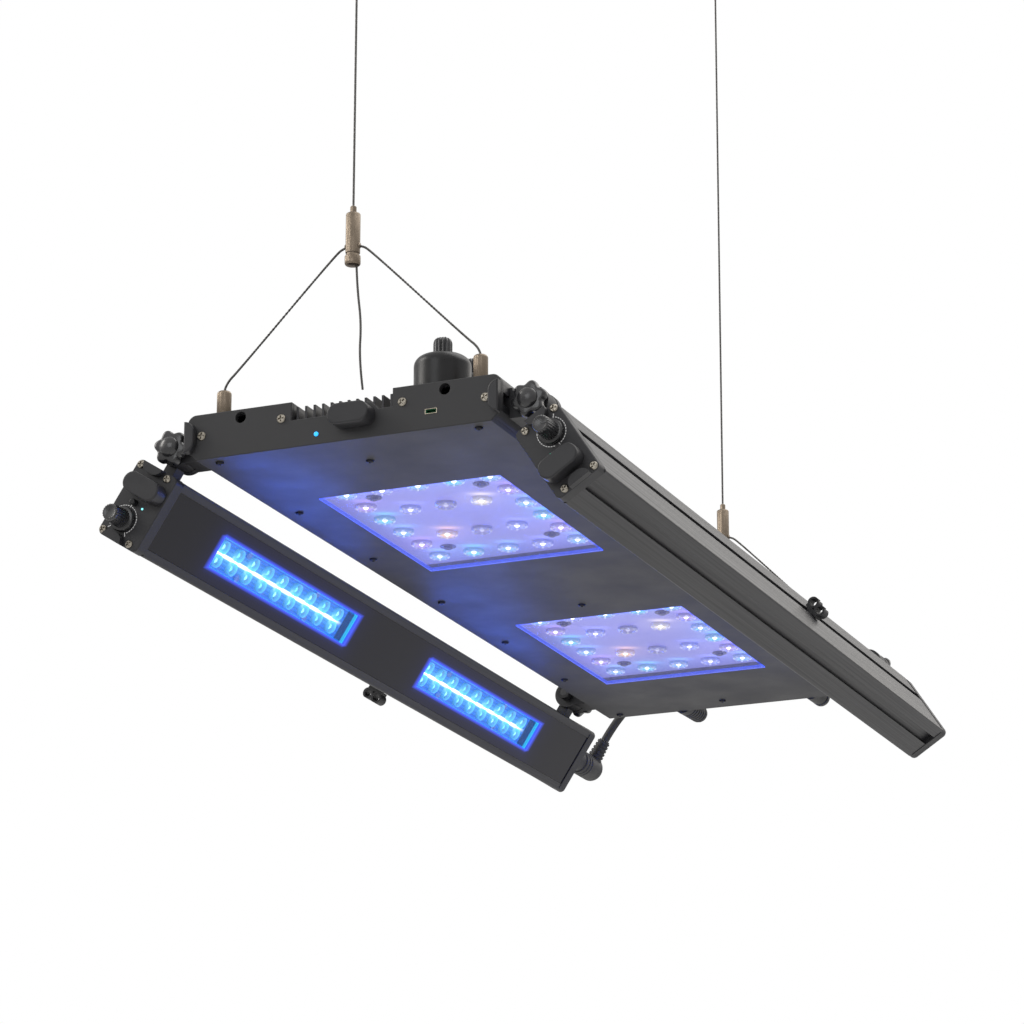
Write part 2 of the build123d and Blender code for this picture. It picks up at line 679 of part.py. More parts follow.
    with BuildPart() as dial:
        with BuildSketch(bar_plane(side, BAR_NEAR + 0.3, *BAR_DIAL)):
            Circle(8.5)
        extrude(amount=3.2)
        chamfer(dial.edges().sort_by(Axis.X)[-1], 0.8)
        with BuildSketch(bar_plane(side, BAR_NEAR + 3.0, *BAR_DIAL)):
            Circle(6.4)
        extrude(amount=16, taper=3)
        fillet(dial.edges().sort_by(Axis.X)[-1], 1.0)
        with BuildSketch(bar_plane(side, BAR_NEAR + 0.3, *BAR_DIAL)):
            Circle(STUD_R)
        extrude(amount=-8)
    keep(dial, f"{word}_dial")

    with BuildPart() as button:
        with BuildSketch(bar_plane(side, BAR_NEAR - 6.0, *BAR_BUTTON)):
            Circle(BUTTON_R)
        extrude(amount=10.5)
        fillet(button.edges().sort_by(Axis.X)[-1], 0.7)
    keep(button, f"{word}_button")

    with BuildPart() as bracket_arms:
        for end in (-1, 1):
            x_low = min(end * KNUCKLE_X[0], end * KNUCKLE_X[1])
            reach = ARM_REACH - BAR_WIDE / 2
            with BuildSketch(bar_plane(side, x_low, ARM_OFFSET, hinge_u)):
                Circle(10.2)
                with Locations((0, side * (reach + 0.6) / 2)):
                    Rectangle(8.3, reach + 3.8)
                with Locations((0, side * (reach + 3.0))):
                    Rectangle(12.6, 1.8)
            extrude(amount=KNUCKLE_X[1] - KNUCKLE_X[0])
            with BuildSketch(bar_plane(side, x_low, ARM_OFFSET, hinge_u)):
                Circle(STUD_R + RUNNING)
            extrude(amount=KNUCKLE_X[1] - KNUCKLE_X[0], mode=Mode.SUBTRACT)
    keep(bracket_arms, f"{word}_bracket_arms")

    seat = bar_plane(side, *CLIPS[side])
    if side > 0:    # in the back face's slot instead of the short side's
        seat = Plane(origin=seat.origin, x_dir=-seat.y_dir, z_dir=seat.z_dir)
    with BuildPart() as cable_clip:
        with BuildSketch(seat):
            for lobe in (-3.9, 3.9):
                with Locations((lobe, -5.6)):
                    Circle(4.2)
            with Locations((0, -1.2)):
                Rectangle(12.0, 2.4)
            with Locations((0, 0.8)):
                Rectangle(6.2, 3.6)
            with Locations((0, 3.0)):
                Rectangle(10.4, 1.7)
            for lobe in (-3.9, 3.9):
                with Locations((lobe, -5.6)):
                    Circle(2.6, mode=Mode.SUBTRACT)
                with Locations((lobe, -9.0)):
                    Rectangle(2.6, 4.0, mode=Mode.SUBTRACT)
        extrude(amount=4.5, both=True)
    keep(cable_clip, f"{word}_cable_clip")

# ---- left bar's power plug and lead --------------------------------------------------------
PLUG_NEAR = BAR_FAR - SOCKET_LONG
PLUG_LONG = 36.0
RELIEF_X = PLUG_NEAR - 27.0
RELIEF_U = (8.0, 27.0)

with BuildPart() as left_lead_plug:
    with BuildSketch(bar_plane(-1, PLUG_NEAR, *SOCKET)):
        Circle(10.0)
    extrude(amount=-PLUG_LONG)
    fillet(left_lead_plug.edges().sort_by(Axis.X)[0], 3.0)
    with BuildSketch(bar_plane(-1, PLUG_NEAR, *SOCKET)):
        Circle(SOCKET_BORE - RUNNING)
    extrude(amount=13)
    relief = bar_plane(-1, RELIEF_X, *SOCKET)
    with BuildSketch(Plane(origin=relief.origin + relief.y_dir * (RELIEF_U[0] - SOCKET[1]),
                           z_dir=relief.y_dir)):
        Circle(6.6)
    extrude(amount=RELIEF_U[1] - RELIEF_U[0], taper=4)
keep(left_lead_plug, "left_lead_plug")

relief_tip = relief.origin + relief.y_dir * (RELIEF_U[1] - SOCKET[1])
LEAD_ROUTE = [
    relief_tip,
    relief_tip + relief.y_dir * 20,
    (-417, -101, 31 - DROP),
    (-422, -81, 37 - DROP),
    (-419, -64, 27 - DROP),
    (-403, -57, 16 - DROP),
    (-373, GLAND_YZ[0], GLAND_YZ[1] - DROP),
]
tube(LEAD_ROUTE, LEAD_D, "left_lead")

# ---- suspension cables ---------------------------------------------------------------------
for word, x in (("near", HANG_X), ("far", -HANG_X)):
    tube([(x, 0, NIPPLE_TOP - DROP), (x, 0, FITTING_LOW - DROP)], CABLE_D, f"{word}_cable")
    half_sling = [(6.0, SLING_Z), (13.0, 131.5), (80.0, 63.0), (89.6, 54.5),
                  (ANCHOR_Y, ANCHOR_TOP)]
    right_half = [(x, y, z - DROP) for y, z in half_sling]
    left_half = [(x, -y, z - DROP) for y, z in reversed(half_sling)]
    tube(left_half + right_half, CABLE_D, f"{word}_sling")

TAIL_ROUTE = [(HANG_X - 1.0, 2.4, GRIP_LOW - DROP), (HANG_X - 1.6, 2.8, 108 - DROP),
              (HANG_X - 4.0, 5.0, 84 - DROP), (HANG_X - 3.4, 4.0, 60 - DROP),
              (HANG_X - 7.0, 5.2, 40 - DROP)]
tube(TAIL_ROUTE, CABLE_D, "near_tail")
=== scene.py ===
"""Looks of a hanging LED aquarium light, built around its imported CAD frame.

Everything is in metres in the frame's own axes: +X along the fixture towards its control
end, +Y across it, +Z up, with the origin on the ceiling between the two ceiling screws.
"""

import json
from math import cos, exp, hypot, pi, radians, sin

import bmesh
import bpy
from bpy.props import FloatProperty, FloatVectorProperty, IntProperty, PointerProperty
from mathutils import Matrix, Quaternion, Vector


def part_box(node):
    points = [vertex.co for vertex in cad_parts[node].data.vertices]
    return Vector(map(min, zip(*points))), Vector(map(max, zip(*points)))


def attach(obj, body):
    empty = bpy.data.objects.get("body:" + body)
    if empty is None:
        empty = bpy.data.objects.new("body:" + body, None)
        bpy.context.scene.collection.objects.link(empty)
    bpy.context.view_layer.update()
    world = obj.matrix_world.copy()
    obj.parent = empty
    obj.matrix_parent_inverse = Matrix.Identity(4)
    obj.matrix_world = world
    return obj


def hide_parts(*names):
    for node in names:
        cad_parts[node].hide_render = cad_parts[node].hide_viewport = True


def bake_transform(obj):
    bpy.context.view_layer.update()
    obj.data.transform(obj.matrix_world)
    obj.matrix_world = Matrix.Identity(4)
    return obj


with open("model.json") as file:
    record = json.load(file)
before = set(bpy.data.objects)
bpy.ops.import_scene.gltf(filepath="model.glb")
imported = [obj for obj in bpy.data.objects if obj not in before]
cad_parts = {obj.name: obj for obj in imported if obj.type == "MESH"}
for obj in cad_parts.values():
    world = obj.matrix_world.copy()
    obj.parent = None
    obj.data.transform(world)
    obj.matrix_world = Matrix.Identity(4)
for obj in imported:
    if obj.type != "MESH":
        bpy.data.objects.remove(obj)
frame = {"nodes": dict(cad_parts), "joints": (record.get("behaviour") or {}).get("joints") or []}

bl_info = {
    "name": "Hanging LED aquarium light",
    "version": (1, 0, 0),
    "blender": (4, 5, 0),
    "location": "View3D > Sidebar > Aquarium light",
    "description": "Builds the pieces and finishes of a hanging LED aquarium light",
    "category": "Add Mesh",
}

MM = 0.001

# ---- the fixture's driving dimensions ------------------------------------------------------
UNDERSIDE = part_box("bottom_plate")[0].z
NEAR_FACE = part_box("near_end_plate")[1].x
FAR_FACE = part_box("far_end_plate")[0].x
WINDOW_X = 166.5 * MM
WINDOW_SIZE = (180.8 * MM, 130.2 * MM)
LED_ROW, LED_COLUMN = 30.4 * MM, 26.0 * MM
BOARD_FACE = 6.35 * MM              # lamp boards' lit face above the underside
HANG_X = 347.0 * MM
ANCHOR_Y = 90.6 * MM
DIMMER_Y = 57.6 * MM
TILT = radians(33.0)                # a bar's rest tilt
HINGE = Vector(next(j for j in frame["joints"] if j["name"] == "right_bar_tilt")["pos_m"])
ARM_REACH, ARM_OFFSET = 43.2 * MM, -3.3 * MM
BAR_NEAR, BAR_FAR = 357.0 * MM, -366.0 * MM
BAR_WINDOW = (207.8 * MM, 22.8 * MM)
SIDES = {"left": -1, "right": 1}
SCREW_ROWS = (-13.5, 9.5)           # bar cap screws across the bar's thickness, in mm
SCREW_REACH = 24.3                  # and across its width
BAR_DIAL = (-3.8, -12.4)            # dial's middle on a bar's near cap, in mm
STAR_X = 346.3 * MM
LAMP_PITCH, BAR_PITCH = 1.3, 1.5    # windows' lattice pitch, in mm
CABLE_LENGTH, SLING_LENGTH, TAIL_LENGTH, LEAD_LENGTH = 0.4537, 0.256, 0.0837, 0.134


def above(height):
    """Row height of a place given in millimetres above the fixture's underside."""
    return UNDERSIDE + height * MM


def seat(origin, x_axis, z_axis):
    """Matrix that puts local X and Z along two directions at a place."""
    x_axis, z_axis = Vector(x_axis), Vector(z_axis)
    turn = Matrix((x_axis, z_axis.cross(x_axis), z_axis)).transposed()
    return Matrix.Translation(Vector(origin)) @ turn.to_4x4()


def lit_direction(side):
    """Direction that a bar's lit face looks in."""
    return Vector((0, -side * cos(TILT), -sin(TILT)))


def bar_middle(side):
    """Middle of a bar's section, at the fixture's mid length."""
    outward = lit_direction(side)
    hinge = Vector((0, side * HINGE.y, HINGE.z))
    return hinge - outward * ARM_OFFSET + Vector((1, 0, 0)).cross(outward) * side * ARM_REACH


def bar_end(side, x, thick=0.0, wide=0.0):
    """Frame on a bar's end: local X through its thickness, Y along its width, Z along +X."""
    outward = lit_direction(side)
    along = Vector((1, 0, 0)).cross(outward)
    place = bar_middle(side) + outward * thick * MM + along * wide * MM
    return seat((x, place.y, place.z), outward, (1, 0, 0))


def bar_face(side):
    """Frame in a bar's middle: local X along it, Z towards its lit face."""
    return seat(bar_middle(side), (1, 0, 0), lit_direction(side))


def plate_end(y, height, x=NEAR_FACE):
    """Frame on the near end plate: local Z along +X."""
    return seat((x, y * MM, above(height)), (0, 1, 0), (1, 0, 0))


def far_end(y, height, x=FAR_FACE):
    """Frame on the far end plate: local Z along -X."""
    return seat((x, y * MM, above(height)), (0, -1, 0), (-1, 0, 0))


def upright(x, y, height):
    """Frame with local Z up."""
    return Matrix.Translation((x, y, above(height)))


# ---- mesh work -----------------------------------------------------------------------------
class Stock:
    """Points and faces gathered for one piece, with a glow colour for each point."""

    def __init__(self):
        self.points, self.faces, self.glows = [], [], []

    def add(self, shape, place=Matrix(), glow=(0.0, 0.0, 0.0)):
        """Adds a shape at a place. glow is one colour or one for each of its points."""
        points, faces = shape
        first = len(self.points)
        self.points += [place @ Vector(p) for p in points]
        self.faces += [[first + i for i in face] for face in faces]
        self.glows += [glow] * len(points) if isinstance(glow[0], float) else list(glow)
        return self


def make_piece(name, stock, finish, body, slot, *nodes):
    """One visible piece that rides a body and stands for the CAD nodes named."""
    mesh = bpy.data.meshes.new(name)
    mesh.from_pydata(stock.points, [], stock.faces)
    work = bmesh.new()
    work.from_mesh(mesh)
    bmesh.ops.recalc_face_normals(work, faces=work.faces)
    work.to_mesh(mesh)
    work.free()
    mesh.shade_smooth()
    mesh.set_sharp_from_angle(angle=radians(32))
    glow = mesh.color_attributes.new("glow", "FLOAT_COLOR", "POINT")
    for corner, colour in zip(glow.data, stock.glows):
        corner.color = (*colour, 1.0)
    mesh.materials.append(finish)
    piece = bpy.data.objects.new(name, mesh)
    bpy.context.scene.collection.objects.link(piece)
    if body:
        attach(piece, body)
    if nodes:
        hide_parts(*nodes)
    return piece


def turned(profile, sides=48, outline=None, phase=0.0, capped=True):
    """Shape turned about local Z from (radius, height) pairs in millimetres."""
    points, faces = [], []
    for radius, height in profile:
        for i in range(sides):
            angle = phase + 2 * pi * i / sides
            reach = (outline(angle) if outline else 1.0) * radius * MM
            points.append((reach * cos(angle), reach * sin(angle), height * MM))
    for ring in range(len(profile) - 1):
        for i in range(sides):
            low, nxt = ring * sides + i, ring * sides + (i + 1) % sides
            faces.append([low, nxt, nxt + sides, low + sides])
    faces.append(list(range(sides))[::-1])
    if capped:
        faces.append([(len(profile) - 1) * sides + i for i in range(sides)])
    return points, faces


def dome(radius, low, high, steps=5):
    """Profile of a quarter-round dome from a wall of that radius."""
    return [(max(radius * cos(pi / 2 * i / steps), 0.12 * radius),
             low + (high - low) * sin(pi / 2 * i / steps)) for i in range(steps + 1)]


def recessed_head(profile, recess, depth, ratio):
    """Screw head: a turned profile whose flat top holds a polygonal drive recess."""
    sides = len(recess) * ratio
    start = Vector(recess[0]).angle_signed(Vector((1, 0)))
    phase = start - (ratio - 1) / 2 * 2 * pi / sides
    points, faces = turned(profile, sides, phase=phase, capped=False)
    top = len(points) - sides
    rim = len(points)
    height = profile[-1][1]
    points += [(x * MM, y * MM, height * MM) for x, y in recess]
    floor = len(points)
    points += [(x * MM * 0.7, y * MM * 0.7, (height - depth) * MM) for x, y in recess]
    count = len(recess)
    for j in range(count):
        for k in range(ratio - 1):
            faces.append([rim + j, top + ratio * j + k, top + ratio * j + k + 1])
        after = (j + 1) % count
        faces.append([rim + j, top + ratio * j + ratio - 1, top + (ratio * (j + 1)) % sides,
                      rim + after])
        faces.append([rim + j, rim + after, floor + after, floor + j])
    faces.append([floor + j for j in range(count)])
    return points, faces


def cross_recess(arm, half):
    """Outline of a cross drive, turning from its first arm."""
    corners = [(arm, half), (half, half), (half, arm)]
    outline = []
    for quarter in range(4):
        turn = Matrix.Rotation(quarter * pi / 2, 2)
        outline += [tuple(turn @ Vector(c)) for c in corners]
    return outline


def polygon(radius, sides):
    """Outline of a regular polygon."""
    return [(radius * cos(2 * pi * i / sides), radius * sin(2 * pi * i / sides))
            for i in range(sides)]


def steps_between(low, high, pitch):
    """Evenly spaced values from low to high, about a pitch apart."""
    count = max(1, round((high - low) / pitch))
    return [low + (high - low) * i / count for i in range(count + 1)]


def plate(xs, ys, low, high, is_hole=lambda x, y: False):
    """Flat sheet in local XY made of grid cells, left open where is_hole says."""
    stride = len(ys)
    layer = len(xs) * stride
    points = [(x, y, z) for z in (low, high) for x in xs for y in ys]
    faces, border = [], {}
    for i in range(len(xs) - 1):
        for j in range(len(ys) - 1):
            if is_hole((xs[i] + xs[i + 1]) / 2, (ys[j] + ys[j + 1]) / 2):
                continue
            loop = [i * stride + j, (i + 1) * stride + j, (i + 1) * stride + j + 1,
                    i * stride + j + 1]
            faces.append(loop[::-1])
            faces.append([layer + k for k in loop])
            for a, b in zip(loop, loop[1:] + loop[:1]):
                if (b, a) in border:
                    del border[(b, a)]
                else:
                    border[(a, b)] = True
    faces += [[a, b, layer + b, layer + a] for a, b in border]
    used = sorted({k for face in faces for k in face})
    renumber = {old: new for new, old in enumerate(used)}
    return [points[k] for k in used], [[renumber[k] for k in face] for face in faces]


def centreline(route, steps):
    """Points along the smooth curve that a cord's route controls."""
    data = bpy.data.curves.new("cord_route", "CURVE")
    data.dimensions = "3D"
    spline = data.splines.new("NURBS")
    spline.points.add(len(route) - 1)
    for control, place in zip(spline.points, route):
        control.co = (*place, 1.0)
    spline.order_u = 3
    spline.use_endpoint_u = True
    spline.resolution_u = steps
    holder = bpy.data.objects.new("cord_route", data)
    mesh = bpy.data.meshes.new_from_object(holder)
    points = [v.co.copy() for v in mesh.vertices]
    bpy.data.objects.remove(holder)
    bpy.data.curves.remove(data)
    bpy.data.meshes.remove(mesh)
    return points


def swept(path, diameter, strands=0, lay_length=1.0, sides=18):
    """Round or stranded cord along a path; the strands twist once in each lay length."""
    points, faces = [], []
    heading = (path[1] - path[0]).normalized()
    across = heading.orthogonal().normalized()
    travelled = 0.0
    for k, here in enumerate(path):
        ahead = path[min(k + 1, len(path) - 1)] - path[max(k - 1, 0)]
        turn = heading.rotation_difference(ahead.normalized())
        across = (turn @ across).normalized()
        heading = ahead.normalized()
        other = heading.cross(across)
        if k:
            travelled += (here - path[k - 1]).length
        twist = 2 * pi * travelled / lay_length if strands else 0.0
        for i in range(sides):
            angle = 2 * pi * i / sides
            lobe = 0.09 * (1 - abs(cos(strands * angle / 2))) if strands else 0.0
            reach = diameter / 2 * (1 - lobe * 2)
            points.append(here + across * reach * cos(angle + twist)
                          + other * reach * sin(angle + twist))
    for ring in range(len(path) - 1):
        for i in range(sides):
            low, nxt = ring * sides + i, ring * sides + (i + 1) % sides
            faces.append([low, nxt, nxt + sides, low + sides])
    faces.append(list(range(sides))[::-1])
    faces.append([(len(path) - 1) * sides + i for i in range(sides)])
    return points, faces


# ---- finishes ------------------------------------------------------------------------------
class Recipe:
    """A finish in the making: one Principled shader and the textures that feed it."""

    def __init__(self, name, colour, roughness, metallic=0.0, coat=0.0,
                 specular=0.5):
        self.material = bpy.data.materials.new(name)
        self.material.use_nodes = True
        self.tree = self.material.node_tree
        self.shader = self.tree.nodes["Principled BSDF"]
        self.shader.inputs["Base Color"].default_value = (*colour, 1.0)
        self.shader.inputs["Roughness"].default_value = roughness
        self.shader.inputs["Metallic"].default_value = metallic
        self.shader.inputs["Coat Weight"].default_value = coat
        self.shader.inputs["Coat Roughness"].default_value = 0.12
        self.shader.inputs["Specular IOR Level"].default_value = specular
        self.place = self.node("ShaderNodeTexCoord").outputs["Object"]
        self.normal = None

    def node(self, kind, **values):
        """New node with settings, or input values, of those names."""
        made = self.tree.nodes.new(kind)
        for key, value in values.items():
            if key in made.inputs:
                made.inputs[key].default_value = value
            else:
                setattr(made, key, value)
        return made

    def link(self, source, target):
        self.tree.links.new(source, target)
        return self

    def noise(self, size, detail=3.0, stretch=(1.0, 1.0, 1.0)):
        """Noise whose features are about a size in millimetres, stretched along axes."""
        mapping = self.node("ShaderNodeMapping")
        mapping.inputs["Scale"].default_value = [1000.0 / size / s for s in stretch]
        texture = self.node("ShaderNodeTexNoise", Scale=1.0, Detail=detail)
        self.link(self.place, mapping.inputs["Vector"])
        self.link(mapping.outputs["Vector"], texture.inputs["Vector"])
        return texture.outputs["Fac"]

    def ranged(self, source, low, high, start=0.3, end=0.7):
        """A factor spread over a range of values."""
        spread = self.node("ShaderNodeMapRange")
        for key, value in (("From Min", start), ("From Max", end), ("To Min", low),
                           ("To Max", high)):
            spread.inputs[key].default_value = value
        self.link(source, spread.inputs["Value"])
        return spread.outputs["Result"]

    def mottled(self, source, first, second):
        """Base colour that wanders between two colours."""
        mix = self.node("ShaderNodeMix", data_type="RGBA")
        self.link(source, mix.inputs[0])
        colours = [s for s in mix.inputs if s.type == "RGBA"]
        colours[0].default_value = (*first, 1.0)
        colours[1].default_value = (*second, 1.0)
        output = next(s for s in mix.outputs if s.type == "RGBA")
        self.link(output, self.shader.inputs["Base Color"])
        return self

    def rough(self, source, low, high):
        """Roughness that wanders between two values."""
        return self.link(self.ranged(source, low, high), self.shader.inputs["Roughness"])

    def soft_edges(self, radius):
        """Edges that catch light as if rounded."""
        bevel = self.node("ShaderNodeBevel", samples=4, Radius=radius * MM)
        self.normal = bevel.outputs["Normal"]
        return self.link(self.normal, self.shader.inputs["Normal"])

    def bump(self, source, height, strength=1.0):
        """Relief of a height in millimetres."""
        relief = self.node("ShaderNodeBump", Strength=strength, Distance=height * MM)
        self.link(source, relief.inputs["Height"])
        if self.normal:
            self.link(self.normal, relief.inputs["Normal"])
        self.normal = relief.outputs["Normal"]
        return self.link(self.normal, self.shader.inputs["Normal"])

    def glowing(self, strength, weave=None):
        """Light in the colours painted on the piece, dimmed a little by a weave."""
        painted = self.node("ShaderNodeAttribute", attribute_name="glow")
        light = painted.outputs["Color"]
        if weave:
            scaled = self.node("ShaderNodeVectorMath", operation="SCALE")
            self.link(light, scaled.inputs[0])
            self.link(weave, scaled.inputs["Scale"])
            light = scaled.outputs[0]
        self.shader.inputs["Emission Strength"].default_value = strength
        return self.link(light, self.shader.inputs["Emission Color"])

    def lattice(self, pitch, angle):
        """Fine square lattice of a pitch in millimetres, turned by an angle."""
        mapping = self.node("ShaderNodeMapping")
        mapping.inputs["Rotation"].default_value = (0.0, 0.0, angle)
        self.link(self.place, mapping.inputs["Vector"])
        waves = []
        for direction in ("X", "Y"):
            wave = self.node("ShaderNodeTexWave", bands_direction=direction)
            wave.inputs["Scale"].default_value = 2 * pi * 1000.0 / pitch / 20.0
            self.link(mapping.outputs["Vector"], wave.inputs["Vector"])
            waves.append(wave.outputs["Fac"])
        both = self.node("ShaderNodeMath", operation="MULTIPLY")
        self.link(waves[0], both.inputs[0])
        self.link(waves[1], both.inputs[1])
        return both.outputs[0], waves[1]

    def see_through(self, solid):
        """Clear sheet: mostly what is behind it, and a share of its own gloss."""
        clear = self.node("ShaderNodeBsdfTransparent")
        mix = self.node("ShaderNodeMixShader", Fac=solid)
        output = self.tree.nodes["Material Output"]
        self.link(clear.outputs[0], mix.inputs[1])
        self.link(self.shader.outputs[0], mix.inputs[2])
        self.link(mix.outputs[0], output.inputs["Surface"])
        return self


def shade(colour, factor):
    return tuple(c * factor for c in colour[:3])


def anodised(colour):
    """Black anodised extrusion with fine die lines along its length."""
    made = Recipe("anodised_extrusion", colour, 0.4, metallic=0.1)
    lines = made.noise(0.7, 2.0, (260.0, 1.0, 1.0))
    cloud = made.noise(60.0, 4.0, (3.0, 1.0, 1.0))
    made.mottled(cloud, shade(colour, 0.75), shade(colour, 1.35))
    made.rough(lines, 0.3, 0.46).soft_edges(0.35).bump(lines, 0.02)
    return made.material


def powder_coated(colour):
    """Fine matt powder coat on the steel plates."""
    made = Recipe("powder_coat", colour, 0.5, specular=0.35)
    grain = made.noise(0.55, 3.0)
    cloud = made.noise(38.0, 5.0)
    made.mottled(cloud, shade(colour, 0.8), shade(colour, 1.3))
    made.rough(cloud, 0.44, 0.58).soft_edges(0.3).bump(grain, 0.045)
    return made.material


def moulded(colour, name="moulded_plastic", gloss=0.48):
    """Finely textured black moulding."""
    made = Recipe(name, colour, gloss, specular=0.35)
    grain = made.noise(0.4, 2.0)
    cloud = made.noise(14.0, 4.0)
    made.mottled(cloud, shade(colour, 0.8), shade(colour, 1.25))
    made.rough(cloud, gloss - 0.07, gloss + 0.08).soft_edges(0.4).bump(grain, 0.03)
    return made.material


def knob_gloss(colour):
    """Semi-gloss knob moulding, slightly worn by fingers."""
    made = Recipe("knob_moulding", colour, 0.26, coat=0.35)
    worn = made.noise(5.0, 5.0)
    grain = made.noise(0.5, 2.0)
    made.mottled(worn, shade(colour, 0.7), shade(colour, 1.5))
    made.rough(worn, 0.2, 0.36).soft_edges(0.3).bump(grain, 0.012)
    return made.material


def gloss_strip_and_glow(colour):
    """Glossy black front strip, with a faint blue glow painted round its windows."""
    made = Recipe("gloss_strip_and_glow", colour, 0.12, coat=0.08, specular=0.2)
    smears = made.noise(25.0, 5.0, (4.0, 1.0, 1.0))
    dust = made.noise(1.2, 2.0)
    made.mottled(dust, colour, shade(colour, 1.6))
    # painted light: the strip glows in the blue painted round its windows
    made.rough(smears, 0.07, 0.2).bump(smears, 0.01).glowing(1.0)
    return made.material


def brushed(name, colour, roughness, grain_stretch):
    """Metal with fine brushing."""
    made = Recipe(name, colour, roughness, metallic=1.0)
    lines = made.noise(0.35, 2.0, grain_stretch)
    tarnish = made.noise(9.0, 5.0)
    made.mottled(tarnish, shade(colour, 0.62), shade(colour, 1.2))
    made.rough(lines, roughness - 0.1, roughness + 0.14).bump(lines, 0.03)
    return made.material


def cable_steel(colour):
    """Dark stranded cable, its wires speckled lighter and darker at random."""
    made = Recipe("stranded_cable", colour, 0.34, metallic=0.7)
    wires = made.noise(0.5, 3.0)
    made.mottled(wires, shade(colour, 0.5), shade(colour, 1.9))
    made.rough(wires, 0.25, 0.5).bump(wires, 0.05)
    return made.material


def lead_rubber(colour):
    """Matt rubber of the lead, plug and boots."""
    made = Recipe("lead_rubber", colour, 0.55)
    grain = made.noise(0.6, 3.0)
    dust = made.noise(11.0, 4.0)
    made.mottled(dust, shade(colour, 0.75), shade(colour, 1.5))
    made.rough(dust, 0.46, 0.64).bump(grain, 0.04)
    return made.material


def glow_finish(name, strength, roughness, pitch, angle):
    """Lit surface in painted colours, seen through the window's fine lattice."""
    made = Recipe(name, (0.03, 0.03, 0.05), roughness, coat=0.3)
    cells, ribs = made.lattice(pitch, angle)
    speckle = made.noise(2.2, 3.0)
    made.rough(speckle, roughness - 0.05, roughness + 0.1)
    made.glowing(strength, made.ranged(ribs, 0.74, 1.08, 0.0, 1.0)).bump(cells, 0.04)
    return made.material


def pane_finish(colour, pitch, angle):
    """Clear prismatic sheet of the windows, its edges lit by the light inside it."""
    made = Recipe(f"clear_sheet_{pitch:.1f}mm", colour, 0.2, coat=0.3)
    cells, ribs = made.lattice(pitch, angle)
    scuffs = made.noise(18.0, 5.0)
    made.rough(scuffs, 0.14, 0.34).bump(cells, 0.12).glowing(1.0)
    made.see_through(0.1)
    return made.material


def lens_finish():
    """Clear moulded lens, lit from inside in painted colours."""
    made = Recipe("lit_lens", (0.16, 0.17, 0.2), 0.08, coat=1.0)
    ripple = made.noise(1.1, 2.0)
    made.rough(ripple, 0.05, 0.16).bump(ripple, 0.05).glowing(1.0)
    return made.material


def print_ink_and_glow(colour):
    """Thin pad print with worn edges, brightened by a faint painted glow."""
    made = Recipe("scale_print_and_glow", colour, 0.55)
    wear = made.noise(0.7, 3.0)
    made.mottled(wear, shade(colour, 0.6), colour)
    # painted light: the print glows faintly in the grey painted on its dashes
    made.rough(wear, 0.48, 0.62).glowing(1.0)
    return made.material


def indicator(colour, name):
    """Small lit light pipe."""
    made = Recipe(name, shade(colour, 0.3), 0.2, coat=0.5)
    ripple = made.noise(0.8, 2.0)
    made.rough(ripple, 0.12, 0.3).bump(ripple, 0.02)
    made.shader.inputs["Emission Color"].default_value = (*colour, 1.0)
    made.shader.inputs["Emission Strength"].default_value = 1.6
    return made.material


def circuit_green(colour):
    """Solder mask with a faint track pattern."""
    made = Recipe("solder_mask", colour, 0.4)
    tracks = made.noise(3.0, 6.0, (4.0, 1.0, 1.0))
    made.mottled(tracks, shade(colour, 0.7), shade(colour, 1.3))
    made.rough(tracks, 0.3, 0.5).bump(tracks, 0.05)
    return made.material


def coat_nodes(finish, *nodes):
    """Gives CAD nodes a finish in their own material slots."""
    for name in nodes:
        data = frame["nodes"][name].data
        if not data.materials:
            data.materials.append(finish)
        for index in range(len(data.materials)):
            data.materials[index] = finish


# ---- settings ------------------------------------------------------------------------------
def colour_setting(name, description, default):
    return FloatVectorProperty(name=name, description=description, default=default, size=3,
                               subtype="COLOR", min=0.0, max=1.0)


def length_setting(name, description, default):
    return FloatProperty(name=name, description=description, default=default,
                         subtype="DISTANCE", unit="LENGTH", min=0.0)


class LightFinishes(bpy.types.PropertyGroup):
    """Colours of the light's finishes."""

    anodised: colour_setting("Anodised", "Extruded housings", (0.016, 0.016, 0.019))
    powder: colour_setting("Powder coat", "End plates and bottom plate", (0.026, 0.026, 0.028))
    plastic: colour_setting("Plastic", "Caps, brackets and covers", (0.026, 0.026, 0.029))
    knob: colour_setting("Knobs", "Turning knobs", (0.018, 0.018, 0.02))
    strip: colour_setting("Front strip", "Glossy strip on a bar", (0.003, 0.003, 0.007))
    nickel: colour_setting("Nickel", "Grippers and anchors", (0.24, 0.195, 0.15))
    zinc: colour_setting("Zinc", "Cross-head screws", (0.36, 0.33, 0.28))
    black_zinc: colour_setting("Black zinc", "Bottom screws", (0.03, 0.03, 0.035))
    cable: colour_setting("Cable", "Suspension cables", (0.07, 0.068, 0.065))
    rubber: colour_setting("Rubber", "Lead, plug and boots", (0.02, 0.02, 0.021))


